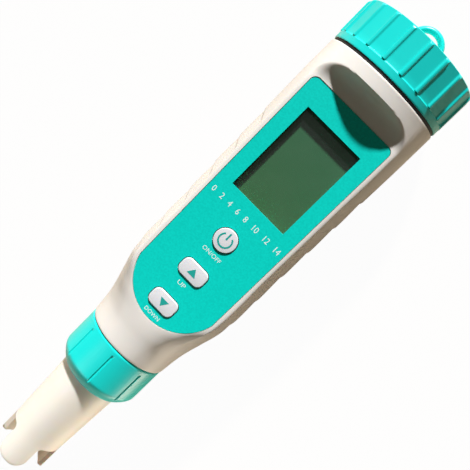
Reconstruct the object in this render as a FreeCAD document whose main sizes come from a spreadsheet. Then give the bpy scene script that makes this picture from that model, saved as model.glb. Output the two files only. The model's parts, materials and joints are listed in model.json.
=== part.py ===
# Pen-type water quality tester, lying on its back with the display up.
# +X is the meter's right, +Y points to the battery cap, +Z is the display side. Millimetres.
# The origin lies on the surface it rests on, under the middle of its length.
import FreeCAD, Part
import math
import os
import re
import Sketcher

Vector = FreeCAD.Vector
Placement = FreeCAD.Placement
Rotation = FreeCAD.Rotation

doc = FreeCAD.newDocument("water_tester")

# Driving dimensions. A station is a distance from the housing rim towards the electrode.
SIZES = [
    ("cap_radius", 19.0, "crest of the battery cap's grip ribs"),
    ("cap_height", 13.3, "flange face to cap end"),
    ("cap_flange", 2.2, "height of the flange"),
    ("flange_inset", 0.25, "flange inside the ribs' crest"),
    ("grip_depth", 0.65, "depth of the recesses between the ribs"),
    ("grip_rib", 0.85, "width of a grip rib"),
    ("grip_count", 20, "grip ribs round the cap"),
    ("grip_turn", 5, "degrees from a rib to the display side"),
    ("cap_end_wall", 2.4, "end wall of the cap"),
    ("cap_edge", 1.2, "rounding of the cap end"),
    ("flange_edge", 0.2, "rounding of the flange"),
    ("loop_radius", 5.4, "outer half width of the lanyard loop"),
    ("loop_band", 1.8, "band of the loop"),
    ("loop_reach", 6.8, "how far the loop stands above the cap"),
    ("loop_thickness", 3.2, "thickness of the loop"),
    ("seal_thickness", 0.9, "sealing ring under the cap"),
    ("seal_inset", 0.55, "sealing ring inside the ribs' crest"),
    ("thread_play", 0.3, "radial play of the plain thread cylinders"),
    ("neck_radius", 16.2, "outer radius of the housing's cap thread"),
    ("neck_length", 9.5, "length of the cap thread"),
    ("bore_radius", 13.8, "mouth of the battery bay"),
    ("ledge_radius", 12.8, "bay below the ledge that carries the holder"),
    ("ledge_depth", 3.5, "neck end to the ledge"),
    ("rim_step", 0.2, "housing's cap end inside the ribs' crest"),
    ("shoulder_station", 12.0, "station of the shoulder section"),
    ("shoulder_half", 18.7, "half width there"),
    ("window_station", 34.0, "station of the window section"),
    ("window_half", 18.3, "half width there"),
    ("middle_station", 56.5, "station of the middle section"),
    ("middle_half", 17.8, "half width there"),
    ("belly_station", 77.0, "where the housing starts to draw in"),
    ("belly_half", 17.35, "half width there"),
    ("taper_station", 85.5, "station of the taper section"),
    ("taper_half", 15.85, "half width there"),
    ("lobe_station", 90.0, "station of the rounded end of the flat"),
    ("lobe_half", 14.85, "half width there"),
    ("throat_station", 94.5, "where the flat runs out"),
    ("throat_radius", 14.1, "radius there"),
    ("housing_length", 101.1, "rim to collar face"),
    ("nose_radius", 13.45, "housing at the collar"),
    ("rim_turn", 42, "height angle where the flanks meet the crown at the rim, in degrees"),
    ("lobe_turn", 48, "the same under the label's tip"),
    ("nose_turn", 50, "the same at the throat and the nose"),
    ("taper_drop", 0.5, "share of the nose's drop at the last key"),
    ("lobe_drop", 0.75, "share of the nose's drop under the label's tip"),
    ("nose_drop", 1.2, "electrode axis below the cap axis"),
    ("face_height", 12.9, "flat of the display above the cap axis"),
    ("face_half", 15.1, "half width of the flat at its top"),
    ("face_half_low", 14.8, "half width of the flat at the belly"),
    ("window_crown", 17.8, "round above the flat at the window, before the flat is cut"),
    ("middle_crown", 16.5, "round above the flat at the middle"),
    ("belly_crown", 15.1, "round above the flat at the belly"),
    ("taper_crown", 14.7, "round above the flat at the taper"),
    ("lobe_joint", 12.4, "half width of the taper section's upper corners"),
    ("lobe_height", 11.6, "height of those corners"),
    ("lobe_tip", 9.2, "half width of the hollow's upper corners at the throat, with the wall"),
    ("flank_bulge", 1.1, "how far a flank swells past its chord"),
    ("scoop_top", 3.9, "station where the scoop leaves the round"),
    ("scoop_end", 10.3, "station where the scoop meets the flat"),
    ("scoop_rise", 0.4, "top of the scoop above the round"),
    ("scoop_hollow", 1.25, "how far the scoop is hollowed, along and down"),
    ("back_start", 3.0, "station where the back strip's first depth is given"),
    ("back_depth", 18.55, "back strip below the cap axis there"),
    ("back_end", 80.0, "station where its second depth is given"),
    ("back_depth_low", 16.65, "back strip below the cap axis there"),
    ("wall", 2.2, "housing wall"),
    ("face_wall", 2.5, "wall under the flat"),
    ("spigot_radius", 11.4, "housing's collar thread"),
    ("spigot_length", 7.0, "length of the collar thread"),
    ("socket_radius", 9.6, "bore for the electrode's rear end"),
    ("label_top", 10.4, "station of the label's top edge"),
    ("label_half", 14.05, "half width of the label at its top"),
    ("label_half_low", 13.75, "half width of the label at its arc"),
    ("label_arc_station", 73.7, "station of the arc's centre"),
    ("label_arc", 14.0, "radius of the label's rounded end"),
    ("label_corner", 1.8, "corner radius of the label"),
    ("label_thickness", 0.5, "overlay thickness"),
    ("label_sink", 0.15, "label surface below the flat"),
    ("fit_gap", 0.15, "gap round inlaid pieces"),
    ("window_centre", 31.4, "station of the window's middle"),
    ("window_length", 27.9, "window along the meter"),
    ("window_width", 19.0, "window across the meter"),
    ("lens_lip", 1.2, "lens seat round the window"),
    ("lens_thickness", 1.2, "display lens"),
    ("glass_thickness", 0.55, "one glass plate of the display"),
    ("glass_margin", 0.5, "glass past the window's sides"),
    ("glass_ledge", 1.6, "contact ledge of the rear plate"),
    ("glass_drop", 2.6, "display surface below the label"),
    ("reflector_thickness", 0.25, "reflector sheet"),
    ("frame_wall", 1.1, "wall of the display frame"),
    ("frame_gap", 0.1, "gap round the glass in its frame"),
    ("frame_foot", 2.2, "side of a frame foot"),
    ("shelf_bite", 0.5, "how far the frame's shelf reaches under the glass"),
    ("rubber_width", 1.2, "rubber contact strip along the meter"),
    ("board_thickness", 1.2, "circuit board"),
    ("board_top", 5.6, "board's upper face above the cap axis"),
    ("board_margin", 1.5, "board past each side of the window"),
    ("roof_margin", 0.6, "room beside the board under the flat"),
    ("board_start", 21.4, "station of the board's upper end"),
    ("board_end", 90.0, "station of the board's lower end"),
    ("rail_height", 0.9, "rails that hold the board"),
    ("rail_bite", 0.9, "how far the rails cover the board's edge"),
    ("rail_start", 25.0, "station where the rails start"),
    ("rail_stop", 85.5, "station where the rails stop"),
    ("power_station", 57.4, "station of the power key"),
    ("power_radius", 3.4, "power key"),
    ("up_station", 69.8, "station of the upper key"),
    ("down_station", 81.6, "station of the lower key"),
    ("key_width", 8.6, "upper and lower key across"),
    ("key_length", 5.2, "upper and lower key along the meter"),
    ("key_corner", 1.9, "corner radius of the keys"),
    ("key_rise", 0.75, "keys above the label"),
    ("key_play", 0.25, "gap round the keys"),
    ("key_flange", 1.1, "flange that keeps a key in"),
    ("key_flange_height", 0.9, "thickness of that flange"),
    ("key_seat", 0.05, "key flange under the wall at rest"),
    ("key_edge", 0.35, "rounded top edge of a key"),
    ("switch_size", 6.0, "tact switch body"),
    ("switch_height", 3.0, "tact switch body height"),
    ("key_travel", 0.5, "how far a key goes down"),
    ("plunger_radius", 1.6, "switch plunger"),
    ("plunger_play", 0.15, "gap round the plunger"),
    ("plunger_depth", 0.8, "plunger inside the switch at rest"),
    ("plunger_floor", 0.1, "gap under a plunger that is pressed down"),
    ("chip_size", 8.0, "main chip"),
    ("chip_station", 60.0, "station of the main chip"),
    ("analog_size", 5.5, "analog chip"),
    ("analog_station", 74.0, "station of the analog chip"),
    ("chip_height", 1.2, "chip height"),
    ("crystal_station", 49.0, "station of the crystal"),
    ("crystal_length", 8.0, "crystal can"),
    ("crystal_radius", 1.5, "crystal can"),
    ("cell_radius", 5.8, "button cell"),
    ("cell_height", 5.4, "button cell"),
    ("cell_step", 0.7, "height of the cell's smaller terminal"),
    ("cell_terminal", 4.9, "radius of that terminal"),
    ("cell_edge", 0.4, "bevel of the cell's can"),
    ("cell_count", 4, "cells in the stack"),
    ("cell_top", 7.5, "stack top above the rim"),
    ("tube_gap", 0.25, "gap round the cells"),
    ("tube_wall", 1.0, "wall of the battery tube"),
    ("tube_floor", 1.0, "closed end of the battery tube"),
    ("holder_flange", 1.6, "flange of the battery holder"),
    ("holder_play", 0.2, "gap round that flange"),
    ("spring_length", 5.5, "fitted length of the battery spring"),
    ("spring_radius", 4.0, "mean radius of the spring"),
    ("spring_wire", 0.4, "radius of the spring wire"),
    ("spring_turns", 3, "turns of the spring"),
    ("spring_sides", 8, "sides of the wire's drawn section"),
    ("strip_thickness", 0.3, "contact strips"),
    ("strip_width", 3.0, "contact strips"),
    ("plate_radius", 11.0, "contact plate in the cap"),
    ("plate_thickness", 0.4, "contact plate in the cap"),
    ("post_radius", 4.5, "post that carries the contact plate"),
    ("plate_gap", 0.1, "plate above the positive strip at rest"),
    ("screw_head", 2.4, "radius of the contact screw's head"),
    ("screw_head_height", 0.45, "height of that head"),
    ("screw_length", 3.0, "shank above the head"),
    ("screw_shank", 1.0, "radius of its shank"),
    ("collar_radius", 13.3, "lock collar"),
    ("collar_length", 15.9, "lock collar"),
    ("collar_straight", 11.9, "straight part of the collar"),
    ("collar_end_radius", 10.6, "collar's small end"),
    ("collar_seat", 0.1, "collar lip beyond the electrode flange"),
    ("collar_bore_play", 0.3, "gap between the collar's lip and the electrode"),
    ("collar_gap", 0.35, "gap between collar and housing"),
    ("collar_round", 1.5, "rounding where the collar draws in"),
    ("groove_count", 8, "grooves round the collar"),
    ("groove_width", 0.7, "width of a groove"),
    ("groove_depth", 0.4, "depth of a groove"),
    ("groove_start", 2.2, "collar face to the groove"),
    ("groove_turn", 3.5, "a groove's turn from the display side, in degrees"),
    ("flange_radius", 11.3, "electrode flange inside the collar"),
    ("flange_thickness", 1.9, "electrode flange"),
    ("gasket_thickness", 0.9, "electrode gasket"),
    ("electrode_length", 50.8, "collar face to electrode tip"),
    ("electrode_rear", 5.0, "how far the electrode enters the housing"),
    ("electrode_plug_radius", 9.3, "electrode end inside the housing"),
    ("tube_top_radius", 9.7, "electrode tube at the collar"),
    ("tube_tip_radius", 8.6, "electrode tube at the crown"),
    ("tube_bore", 7.3, "bore of the electrode tube"),
    ("crown_station", 41.0, "collar face to the crown's roots"),
    ("slot_half", 3.85, "half width of a slot"),
    ("slot_round", 1.4, "rounding at a slot's root"),
    ("tongue_count", 3, "tongues of the crown"),
    ("tongue_round", 2.6, "corner radius at the tongue ends"),
    ("core_play", 0.05, "glue line round the core"),
    ("core_end", 36.5, "collar face to the core's face"),
    ("stem_radius", 2.3, "glass stem"),
    ("bulb_radius", 3.3, "glass bulb"),
    ("bulb_reach", 7.6, "bulb's middle past the core's face"),
    ("pin_radius", 0.75, "conductivity pins"),
    ("pin_reach", 4.5, "conductivity pins past the core's face"),
    ("probe_radius", 1.5, "temperature probe"),
    ("probe_reach", 5.5, "temperature probe past the core's face"),
    ("bulb_wall", 0.4, "wall of the glass"),
    ("stem_depth", 12.0, "glass stem inside the core"),
    ("wire_radius", 0.35, "silver wire in the stem"),
    ("wire_length", 14.0, "silver wire in the stem"),
    ("sensor_depth", 6.0, "how deep the sensors sit in the core"),
    ("junction_radius", 1.2, "reference junction"),
    ("junction_reach", 0.8, "reference junction past the core's face"),
    ("redox_reach", 3.5, "redox pin past the core's face"),
    ("redox_radius", 0.9, "redox pin"),
    ("sensor_circle", 5.0, "circle that the sensors sit on"),
    ("junction_turn", 210, "place of the reference junction on it, in degrees"),
    ("redox_turn", 330, "place of the redox pin"),
    ("probe_turn", 270, "place of the temperature probe"),
    ("pin_turn", 25, "each conductivity pin's turn from the top"),
    ("contact_radius", 0.4, "plug contacts"),
    ("contact_reach", 3.6, "plug contacts past the core"),
    ("contact_circle", 4.2, "circle of the plug contacts"),
    ("contact_count", 6, "plug contacts"),
    ("contact_depth", 2.0, "plug contacts inside the core"),
    ("contact_play", 0.2, "gap round a contact in its socket"),
    ("socket_size", 12.4, "electrode socket block across"),
    ("socket_depth", 9.6, "electrode socket block along the meter"),
    ("socket_gap", 0.5, "socket block to the electrode's rear end"),
]

sheet = doc.addObject("Spreadsheet::Sheet", "Sizes")
for row, (alias, number, note) in enumerate(SIZES, start=1):
    sheet.set(f"A{row}", alias)
    sheet.set(f"B{row}", str(number))
    sheet.setAlias(f"B{row}", alias)
    sheet.set(f"C{row}", note)
doc.recompute()
ALIASES = {alias for alias, number, note in SIZES}

# Places worked out from the sheet, as expressions on its aliases.
RIM_RADIUS = "(cap_radius - rim_step)"
BOARD_WIDTH = "(window_width + 2 * board_margin)"
RIM_Y = "(housing_length + electrode_length - seal_thickness - cap_height - loop_reach) / 2"
CAVITY_TOP = "(face_height - face_wall)"
LABEL_TOP = "(face_height - label_sink)"


def formula(text):
    """An expression on the sheet's aliases, written the way the document needs it."""
    return re.sub(r"[a-z_]+", lambda word: "Sizes." + word[0] if word[0] in ALIASES else word[0], str(text))


def size(text):
    """The number that an expression on the sheet's aliases gives."""
    result = sheet.evalExpression(formula(text))
    return float(getattr(result, "Value", result))


def bind(item, **sizes):
    """Tie properties of an object to expressions on the sheet."""
    for name, text in sizes.items():
        item.setExpression(name, formula(text))
    return item


PLACES = {}


def seat(item, x="0", y="0", z="0"):
    """Tie an object's place to expressions on the sheet."""
    PLACES[item.Name] = (x, y, z)
    for axis, text in (("x", x), ("y", y), ("z", z)):
        item.setExpression(f"Placement.Base.{axis}", formula(text))
    return item


# Plain solids and booleans.
def rod(name, radius, height, x="0", y="0", z="0"):
    item = doc.addObject("Part::Cylinder", name)
    bind(item, Radius=radius, Height=height)
    return seat(item, x, y, z)


def lying_rod(name, radius, length, x, y, z):
    """A cylinder along Y, starting at y."""
    item = rod(name, radius, length, x, y, z)
    item.Placement.Rotation = Rotation(Vector(1, 0, 0), -90)
    return item


def block(name, width, length, height, x="0", y="0", z="0"):
    """A box centred on x and y that stands on z."""
    item = doc.addObject("Part::Box", name)
    bind(item, Length=width, Width=length, Height=height)
    return seat(item, f"{x} - ({width}) / 2", f"{y} - ({length}) / 2", z)


def join(name, items):
    item = doc.addObject("Part::MultiFuse", name)
    item.Shapes = items
    return item


def cut(name, base, tools):
    item = doc.addObject("Part::Cut", name)
    item.Base = base
    item.Tool = tools[0] if len(tools) == 1 else join(name + "_tools", tools)
    return item


def group(name, items):
    """Separate solids that share one node."""
    item = doc.addObject("Part::Compound", name)
    item.Links = items
    return item


# PartDesign bodies.
def origin_plane(body, role):
    return next(item for item in body.Origin.OriginFeatures if item.Role == role)


def new_sketch(body, name, role, lift="0"):
    sketch = body.newObject("Sketcher::SketchObject", name)
    sketch.AttachmentSupport = [(origin_plane(body, role), "")]
    sketch.MapMode = "FlatFace"
    sketch.setExpression("AttachmentOffset.Base.z", formula(lift))
    return sketch


def hold_point(sketch, curve, end, x, y):
    """Hold one point of a sketch at sheet sizes."""
    for kind, axis, text in (("DistanceX", -2, x), ("DistanceY", -1, y)):
        if text == "0":
            sketch.addConstraint(Sketcher.Constraint("PointOnObject", curve, end, axis))
        else:
            number = sketch.addConstraint(Sketcher.Constraint(kind, curve, end, size(text)))
            sketch.setExpression(f"Constraints[{number}]", formula(text))


def outline(sketch, corners):
    """A closed outline of straight lines, its corners given as sheet expressions."""
    points = [Vector(size(x), size(y), 0) for x, y in corners]
    for start, end in zip(points, points[1:] + points[:1]):
        sketch.addGeometry(Part.LineSegment(start, end), False)
    for number, (x, y) in enumerate(corners):
        following = (number + 1) % len(corners)
        sketch.addConstraint(Sketcher.Constraint("Coincident", number, 2, following, 1))
        hold_point(sketch, number, 1, x, y)
    return sketch


def turned(name, profile):
    """A body turned about its local Z axis from a profile of radius and height."""
    body = doc.addObject("PartDesign::Body", name)
    sketch = outline(new_sketch(body, name + "_profile", "XZ_Plane"), profile)
    turn = body.newObject("PartDesign::Revolution", name + "_turn")
    turn.Profile = sketch
    turn.ReferenceAxis = (sketch, ["V_Axis"])
    turn.Angle = 360
    body.Tip = turn
    return body


def padded(body, name, sketch, length, symmetric=False):
    pad = body.newObject("PartDesign::Pad", name)
    pad.Profile = sketch
    pad.SideType = "Symmetric" if symmetric else "One side"
    bind(pad, Length=length)
    body.Tip = pad
    return pad


def pocketed(body, name, sketch, length):
    """A pocket that runs along the sketch's normal, checked to take material away."""
    doc.recompute()
    before = body.Shape.Volume
    pocket = body.newObject("PartDesign::Pocket", name)
    pocket.Profile = sketch
    pocket.Reversed = True
    bind(pocket, Length=length)
    body.Tip = pocket
    doc.recompute()
    if body.Shape.Volume >= before:
        raise RuntimeError(f"{name} cuts nothing")
    return pocket


def around(body, name, feature, count):
    """Repeat a feature round the body's local Z axis."""
    pattern = body.newObject("PartDesign::PolarPattern", name)
    pattern.Originals = [feature]
    pattern.Axis = (origin_plane(body, "Z_Axis"), [""])
    pattern.Angle = 360
    bind(pattern, Occurrences=count)
    body.Tip = pattern
    return pattern


def rounded(body, name, radius, pick):
    """Round the edges of the body's tip that pick chooses."""
    doc.recompute()
    base = body.Tip
    edges = [f"Edge{number}" for number, edge in enumerate(base.Shape.Edges, start=1) if pick(edge)]
    if not edges:
        raise RuntimeError(f"{name} finds no edge")
    fillet = body.newObject("PartDesign::Fillet", name)
    fillet.Base = (base, edges)
    bind(fillet, Radius=radius)
    body.Tip = fillet
    return fillet


def is_ring(radius, height):
    """Picks the full or part circles of one radius at one height."""
    def pick(edge):
        curve = edge.Curve
        if curve.TypeId != "Part::GeomCircle":
            return False
        return abs(curve.Radius - size(radius)) < 0.01 and abs(curve.Center.z - size(height)) < 0.01
    return pick


def is_upright(edge):
    """Picks straight edges along local Z."""
    return edge.Curve.TypeId == "Part::GeomLine" and abs(edge.tangentAt(edge.FirstParameter).z) > 0.999


# Every finished piece stands in one of three frames.
PIECES = []


def finish_piece(item, label, x, y, z, tilt):
    item.Label = label
    if tilt:
        item.Placement = Placement(Vector(), Rotation(Vector(1, 0, 0), tilt))
    for axis, text in (("x", x), ("y", f"{RIM_Y} + ({y})"), ("z", f"cap_radius + ({z})")):
        item.setExpression(f"Placement.Base.{axis}", formula(text))
    PIECES.append(item)
    return item


def level_piece(item, label):
    """Local axes along the row's: x right, y from the rim to the cap, z above the cap axis."""
    x, y, z = PLACES.get(item.Name, ("0", "0", "0"))
    return finish_piece(item, label, x, y, z, 0)


def nose_piece(item, label, station="housing_length"):
    """Local z runs from a station towards the electrode tip, on the electrode's axis."""
    x, y, z = PLACES.get(item.Name, ("0", "0", "0"))
    return finish_piece(item, label, x, f"-({station}) - ({z})", f"{y} - nose_drop", 90)


def cap_piece(item, label, height="0"):
    """Local z runs from a height above the rim out through the cap, on the cap's axis."""
    x, y, z = PLACES.get(item.Name, ("0", "0", "0"))
    return finish_piece(item, label, x, f"{height} + ({z})", f"-({y})", -90)


# The housing's sections are closed by four arcs: back, two flanks and the crown.
def arc(start, through, end):
    return Part.Arc(start, through, end).toShape()


def section(station, half, joint_x, joint_z, bulge, crown, drop=0.0):
    """One closed section across the housing, at a station."""
    corners = (
        (-half, -drop), (0, -drop - half), (half, -drop),
        (joint_x, joint_z), (0, crown), (-joint_x, joint_z))
    left, back, right, right_joint, top, left_joint = (Vector(x, -station, z) for x, z in corners)
    chord = right_joint - right
    out = Vector(chord.z, 0, -chord.x).normalize() * bulge
    flank = (right + right_joint) * 0.5 + out
    mirrored = Vector(-flank.x, flank.y, flank.z)
    edges = [arc(left, back, right), arc(right, flank, right_joint),
             arc(right_joint, top, left_joint), arc(left_joint, mirrored, left)]
    return Part.Wire(edges)


def round_section(station, radius, drop, joint_turn):
    """A circular section, split where the other sections are."""
    turn = math.radians(size(joint_turn))
    joint = (radius * math.cos(turn), radius * math.sin(turn) - drop)
    sagitta = radius * (1 - math.cos(turn / 2))
    return section(station, radius, joint[0], joint[1], sagitta, radius - drop, drop)


def housing_outside():
    """The moulded outside before the flat is cut: round at both ends, squarer between."""
    face = size("face_height")
    bulge = size("flank_bulge")
    drop = size("nose_drop")
    sections = [
        round_section(0, size(RIM_RADIUS), 0, "rim_turn"),
        section(size("shoulder_station"), size("shoulder_half"), size("face_half"), face, bulge,
                size("shoulder_half")),
        section(size("window_station"), size("window_half"), size("face_half"), face, bulge,
                size("window_crown")),
        section(size("middle_station"), size("middle_half"), size("(face_half + face_half_low) / 2"), face,
                bulge, size("middle_crown")),
        section(size("belly_station"), size("belly_half"), size("face_half_low"), face, bulge,
                size("belly_crown")),
        section(size("taper_station"), size("taper_half"), size("lobe_joint"), size("lobe_height"), bulge,
                size("taper_crown"), drop * size("taper_drop")),
        round_section(size("lobe_station"), size("lobe_half"), drop * size("lobe_drop"), "lobe_turn"),
        round_section(size("throat_station"), size("throat_radius"), drop, "nose_turn"),
        round_section(size("housing_length"), size("nose_radius"), drop, "nose_turn"),
    ]
    item = doc.addObject("Part::Feature", "housing_outside")
    item.Shape = Part.makeLoft(sections, True, False)
    return item


def housing_cavity():
    """The hollow behind the flat, from the battery bay to the electrode socket."""
    wall = size("wall")
    roof = size(CAVITY_TOP)
    drop = size("nose_drop")
    bulge = size("flank_bulge")
    joint_height = roof - 0.6

    def hollow(station, half, joint, crown, sink=0.0):
        return section(station, half - wall, joint, joint_height, bulge, crown, sink)

    sections = [
        hollow(size("scoop_top"), size(RIM_RADIUS), size("ledge_radius - 1.2"), roof),
        hollow(size("shoulder_station"), size("shoulder_half"), size("face_half - wall"), roof),
        hollow(size("middle_station"), size("middle_half"), size("face_half_low - wall"), roof),
        hollow(size("belly_station"), size("belly_half"), size("face_half_low - wall - 0.3"), roof),
        hollow(size("taper_station"), size("taper_half"), size("lobe_joint - wall"), roof, drop * 0.5),
        hollow(size("throat_station"), size("throat_radius"), size("lobe_tip - wall"), roof - 0.3, drop),
    ]
    item = doc.addObject("Part::Feature", "housing_cavity")
    item.Shape = Part.makeLoft(sections, True, False)
    return item


def face_cutter():
    """Takes away all that stands above the flat, with the hollow scoop at its top."""
    face = size("face_height")
    top = size("scoop_top")
    end = size("scoop_end")
    high = 2 * size("cap_radius")
    low_station = size("housing_length + wall")
    reach = size("cap_radius + wall")
    start = Vector(-reach, -top, size(f"{RIM_RADIUS} + scoop_rise"))
    stop = Vector(-reach, -end, face)
    hollow = size("scoop_hollow")
    middle = (start + stop) * 0.5 + Vector(0, hollow, -hollow)
    corners = [stop, Vector(-reach, -low_station, face), Vector(-reach, -low_station, high),
               Vector(-reach, -top, high), start]
    lines = [Part.LineSegment(a, b).toShape() for a, b in zip(corners, corners[1:])]
    wire = Part.Wire([arc(start, middle, stop)] + lines)
    item = doc.addObject("Part::Feature", "face_cutter")
    item.Shape = Part.Face(wire).extrude(Vector(2 * reach, 0, 0))
    return item


def back_cutter():
    """Takes a shallow strip off the round back, so that the meter lies still on a bench."""
    start = size("back_start")
    fall = (size("back_depth") - size("back_depth_low")) / (size("back_end") - start)
    reach = size("cap_radius")
    low_station = size("housing_length")
    low = -reach - size("wall")
    corners = [Vector(-reach, 0, low), Vector(-reach, 0, -size("back_depth") - fall * start),
               Vector(-reach, -low_station, fall * (low_station - start) - size("back_depth")),
               Vector(-reach, -low_station, low)]
    item = doc.addObject("Part::Feature", "back_cutter")
    item.Shape = Part.Face(Part.makePolygon(corners + corners[:1])).extrude(Vector(2 * reach, 0, 0))
    return item


def label_blank(name, grow, bottom, height):
    """The label's outline as a plate, wider all round by grow."""
    body = doc.addObject("PartDesign::Body", name)
    sketch = new_sketch(body, name + "_outline", "XY_Plane", bottom)
    top = size(f"{grow} - label_top")
    wide = size(f"label_half + {grow}")
    narrow = size(f"label_half_low + {grow}")
    radius = size(f"label_arc + {grow}")
    centre = Vector(0, -size("label_arc_station"), 0)
    meet = centre.y - math.sqrt(radius ** 2 - narrow ** 2)
    lean = math.asin(narrow / radius)
    sketch.addGeometry(Part.LineSegment(Vector(wide, top, 0), Vector(-wide, top, 0)), False)
    sketch.addGeometry(Part.LineSegment(Vector(-wide, top, 0), Vector(-narrow, meet, 0)), False)
    low = -math.pi / 2
    circle = Part.Circle(centre, Vector(0, 0, 1), radius)
    sketch.addGeometry(Part.ArcOfCircle(circle, low - lean, low + lean), False)
    sketch.addGeometry(Part.LineSegment(Vector(narrow, meet, 0), Vector(wide, top, 0)), False)
    for first, first_end, second, second_end in ((0, 2, 1, 1), (1, 2, 2, 1), (2, 2, 3, 1), (3, 2, 0, 1)):
        sketch.addConstraint(Sketcher.Constraint("Coincident", first, first_end, second, second_end))
    hold_point(sketch, 0, 1, f"label_half + {grow}", f"{grow} - label_top")
    hold_point(sketch, 0, 2, f"-label_half - {grow}", f"{grow} - label_top")
    hold_point(sketch, 2, 3, "0", "-label_arc_station")
    number = sketch.addConstraint(Sketcher.Constraint("Radius", 2, radius))
    sketch.setExpression(f"Constraints[{number}]", formula(f"label_arc + {grow}"))
    for curve, end_point, side in ((1, 2, "-"), (3, 1, "")):
        number = sketch.addConstraint(
            Sketcher.Constraint("DistanceX", curve, end_point, size(f"{side}(label_half_low + {grow})")))
        sketch.setExpression(f"Constraints[{number}]", formula(f"{side}(label_half_low + {grow})"))
    padded(body, name + "_plate", sketch, height)
    rounded(body, name + "_corners", f"label_corner + {grow}",
            lambda edge: is_upright(edge) and edge.CenterOfMass.y > top - 0.01)
    return body


def key_prism(name, width, length, corner, bottom, height, station):
    """An upright block with rounded corners at a key's station."""
    body = doc.addObject("PartDesign::Body", name)
    sketch = new_sketch(body, name + "_outline", "XY_Plane", bottom)
    side = f"({width}) / 2"
    top = f"-({station}) + ({length}) / 2"
    low = f"-({station}) - ({length}) / 2"
    outline(sketch, [(f"-{side}", low), (side, low), (side, top), (f"-{side}", top)])
    padded(body, name + "_block", sketch, height)
    rounded(body, name + "_corners", corner, is_upright)
    return body


KEYS = [("up", "up_station"), ("down", "down_station")]


def make_housing():
    spigot_start = "-housing_length - spigot_length"
    neck = lying_rod("cap_thread", "neck_radius", "neck_length + 1", "0", "-1", "0")
    spigot = lying_rod("collar_thread", "spigot_radius", "spigot_length + 1", "0", spigot_start, "-nose_drop")
    outside = cut("flattened", housing_outside(), [face_cutter(), back_cutter()])
    outside = join("outside", [outside, neck, spigot])
    rails = []
    rail_length = "rail_stop - rail_start"
    rail_middle = "-(rail_start + rail_stop) / 2"
    for side, sign in (("left", "-"), ("right", "")):
        for level, z in (("over", "board_top + 0.1"),
                         ("under", "board_top - board_thickness - rail_height - 0.1")):
            x = f"{sign}({BOARD_WIDTH} / 2 - rail_bite + 3)"
            rails.append(block(f"rail_{side}_{level}", "6", rail_length, "rail_height", x, rail_middle, z))
    roof = block("key_roof", f"{BOARD_WIDTH} + 2 * roof_margin", "taper_station - shoulder_station", "6",
                 "0", "-(taper_station + shoulder_station) / 2", f"{CAVITY_TOP} - 6")
    hollow = cut("hollow", join("hollow_room", [housing_cavity(), roof]), rails)
    seat_play = "2 * lens_lip + 2 * fit_gap"
    tools = [
        hollow,
        lying_rod("bay_mouth", "bore_radius", "ledge_depth", "0", "neck_length - ledge_depth", "0"),
        lying_rod("bay", "ledge_radius", "neck_length + scoop_top", "0", "-scoop_top - 0.2", "0"),
        lying_rod("socket_bore", "socket_radius", "housing_length + spigot_length - lobe_station", "0",
                  spigot_start, "-nose_drop"),
        label_blank("label_pocket", "fit_gap", f"{LABEL_TOP} - label_thickness", "label_thickness + 1"),
        block("lens_seat", f"window_width + {seat_play}", f"window_length + {seat_play}",
              "lens_thickness + 0.2", "0", "-window_centre",
              f"{LABEL_TOP} - label_thickness - lens_thickness"),
        block("window_hole", "window_width", "window_length", "8", "0", "-window_centre",
              f"{CAVITY_TOP} - 1"),
        rod("power_hole", "power_radius + key_play", "8", "0", "-power_station", f"{CAVITY_TOP} - 1"),
    ]
    for key, station in KEYS:
        tools.append(key_prism(f"{key}_hole", "key_width + 2 * key_play", "key_length + 2 * key_play",
                               "key_corner + key_play", f"{CAVITY_TOP} - 1", "8", station))
    level_piece(cut("housing_shell", outside, tools), "housing")


def make_label():
    tools = [
        block("label_window", "window_width", "window_length", "2", "0", "-window_centre",
              f"{LABEL_TOP} - label_thickness - 0.5"),
        rod("label_power", "power_radius + key_play", "2", "0", "-power_station",
            f"{LABEL_TOP} - label_thickness - 0.5"),
    ]
    for key, station in KEYS:
        tools.append(key_prism(f"label_{key}", "key_width + 2 * key_play", "key_length + 2 * key_play",
                               "key_corner + key_play", f"{LABEL_TOP} - label_thickness - 0.5", "2", station))
    plate = label_blank("label_sheet", "0", f"{LABEL_TOP} - label_thickness", "label_thickness")
    level_piece(cut("label_overlay", plate, tools), "face_label")


def make_display():
    """Lens, two glass plates and the reflector behind them."""
    surface = f"({LABEL_TOP} - glass_drop)"
    width = "window_width + 2 * glass_margin"
    length = "window_length + 2 * glass_margin"
    rear = f"({surface} - 2 * glass_thickness)"
    plates = [
        ("display_lens", "window_width + 2 * lens_lip", "window_length + 2 * lens_lip", "0",
         f"{LABEL_TOP} - label_thickness - lens_thickness", "lens_thickness"),
        ("lcd_front_glass", width, length, "0", f"{surface} - glass_thickness", "glass_thickness"),
        ("lcd_rear_glass", width, f"{length} + glass_ledge", "glass_ledge", rear, "glass_thickness"),
        ("lcd_reflector", width, length, "0", f"{rear} - reflector_thickness", "reflector_thickness"),
    ]
    for label, across, along, shift, base, height in plates:
        plate = block(label + "_plate", across, along, height, "0", f"-window_centre - {shift} / 2", base)
        level_piece(plate, label)


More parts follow.
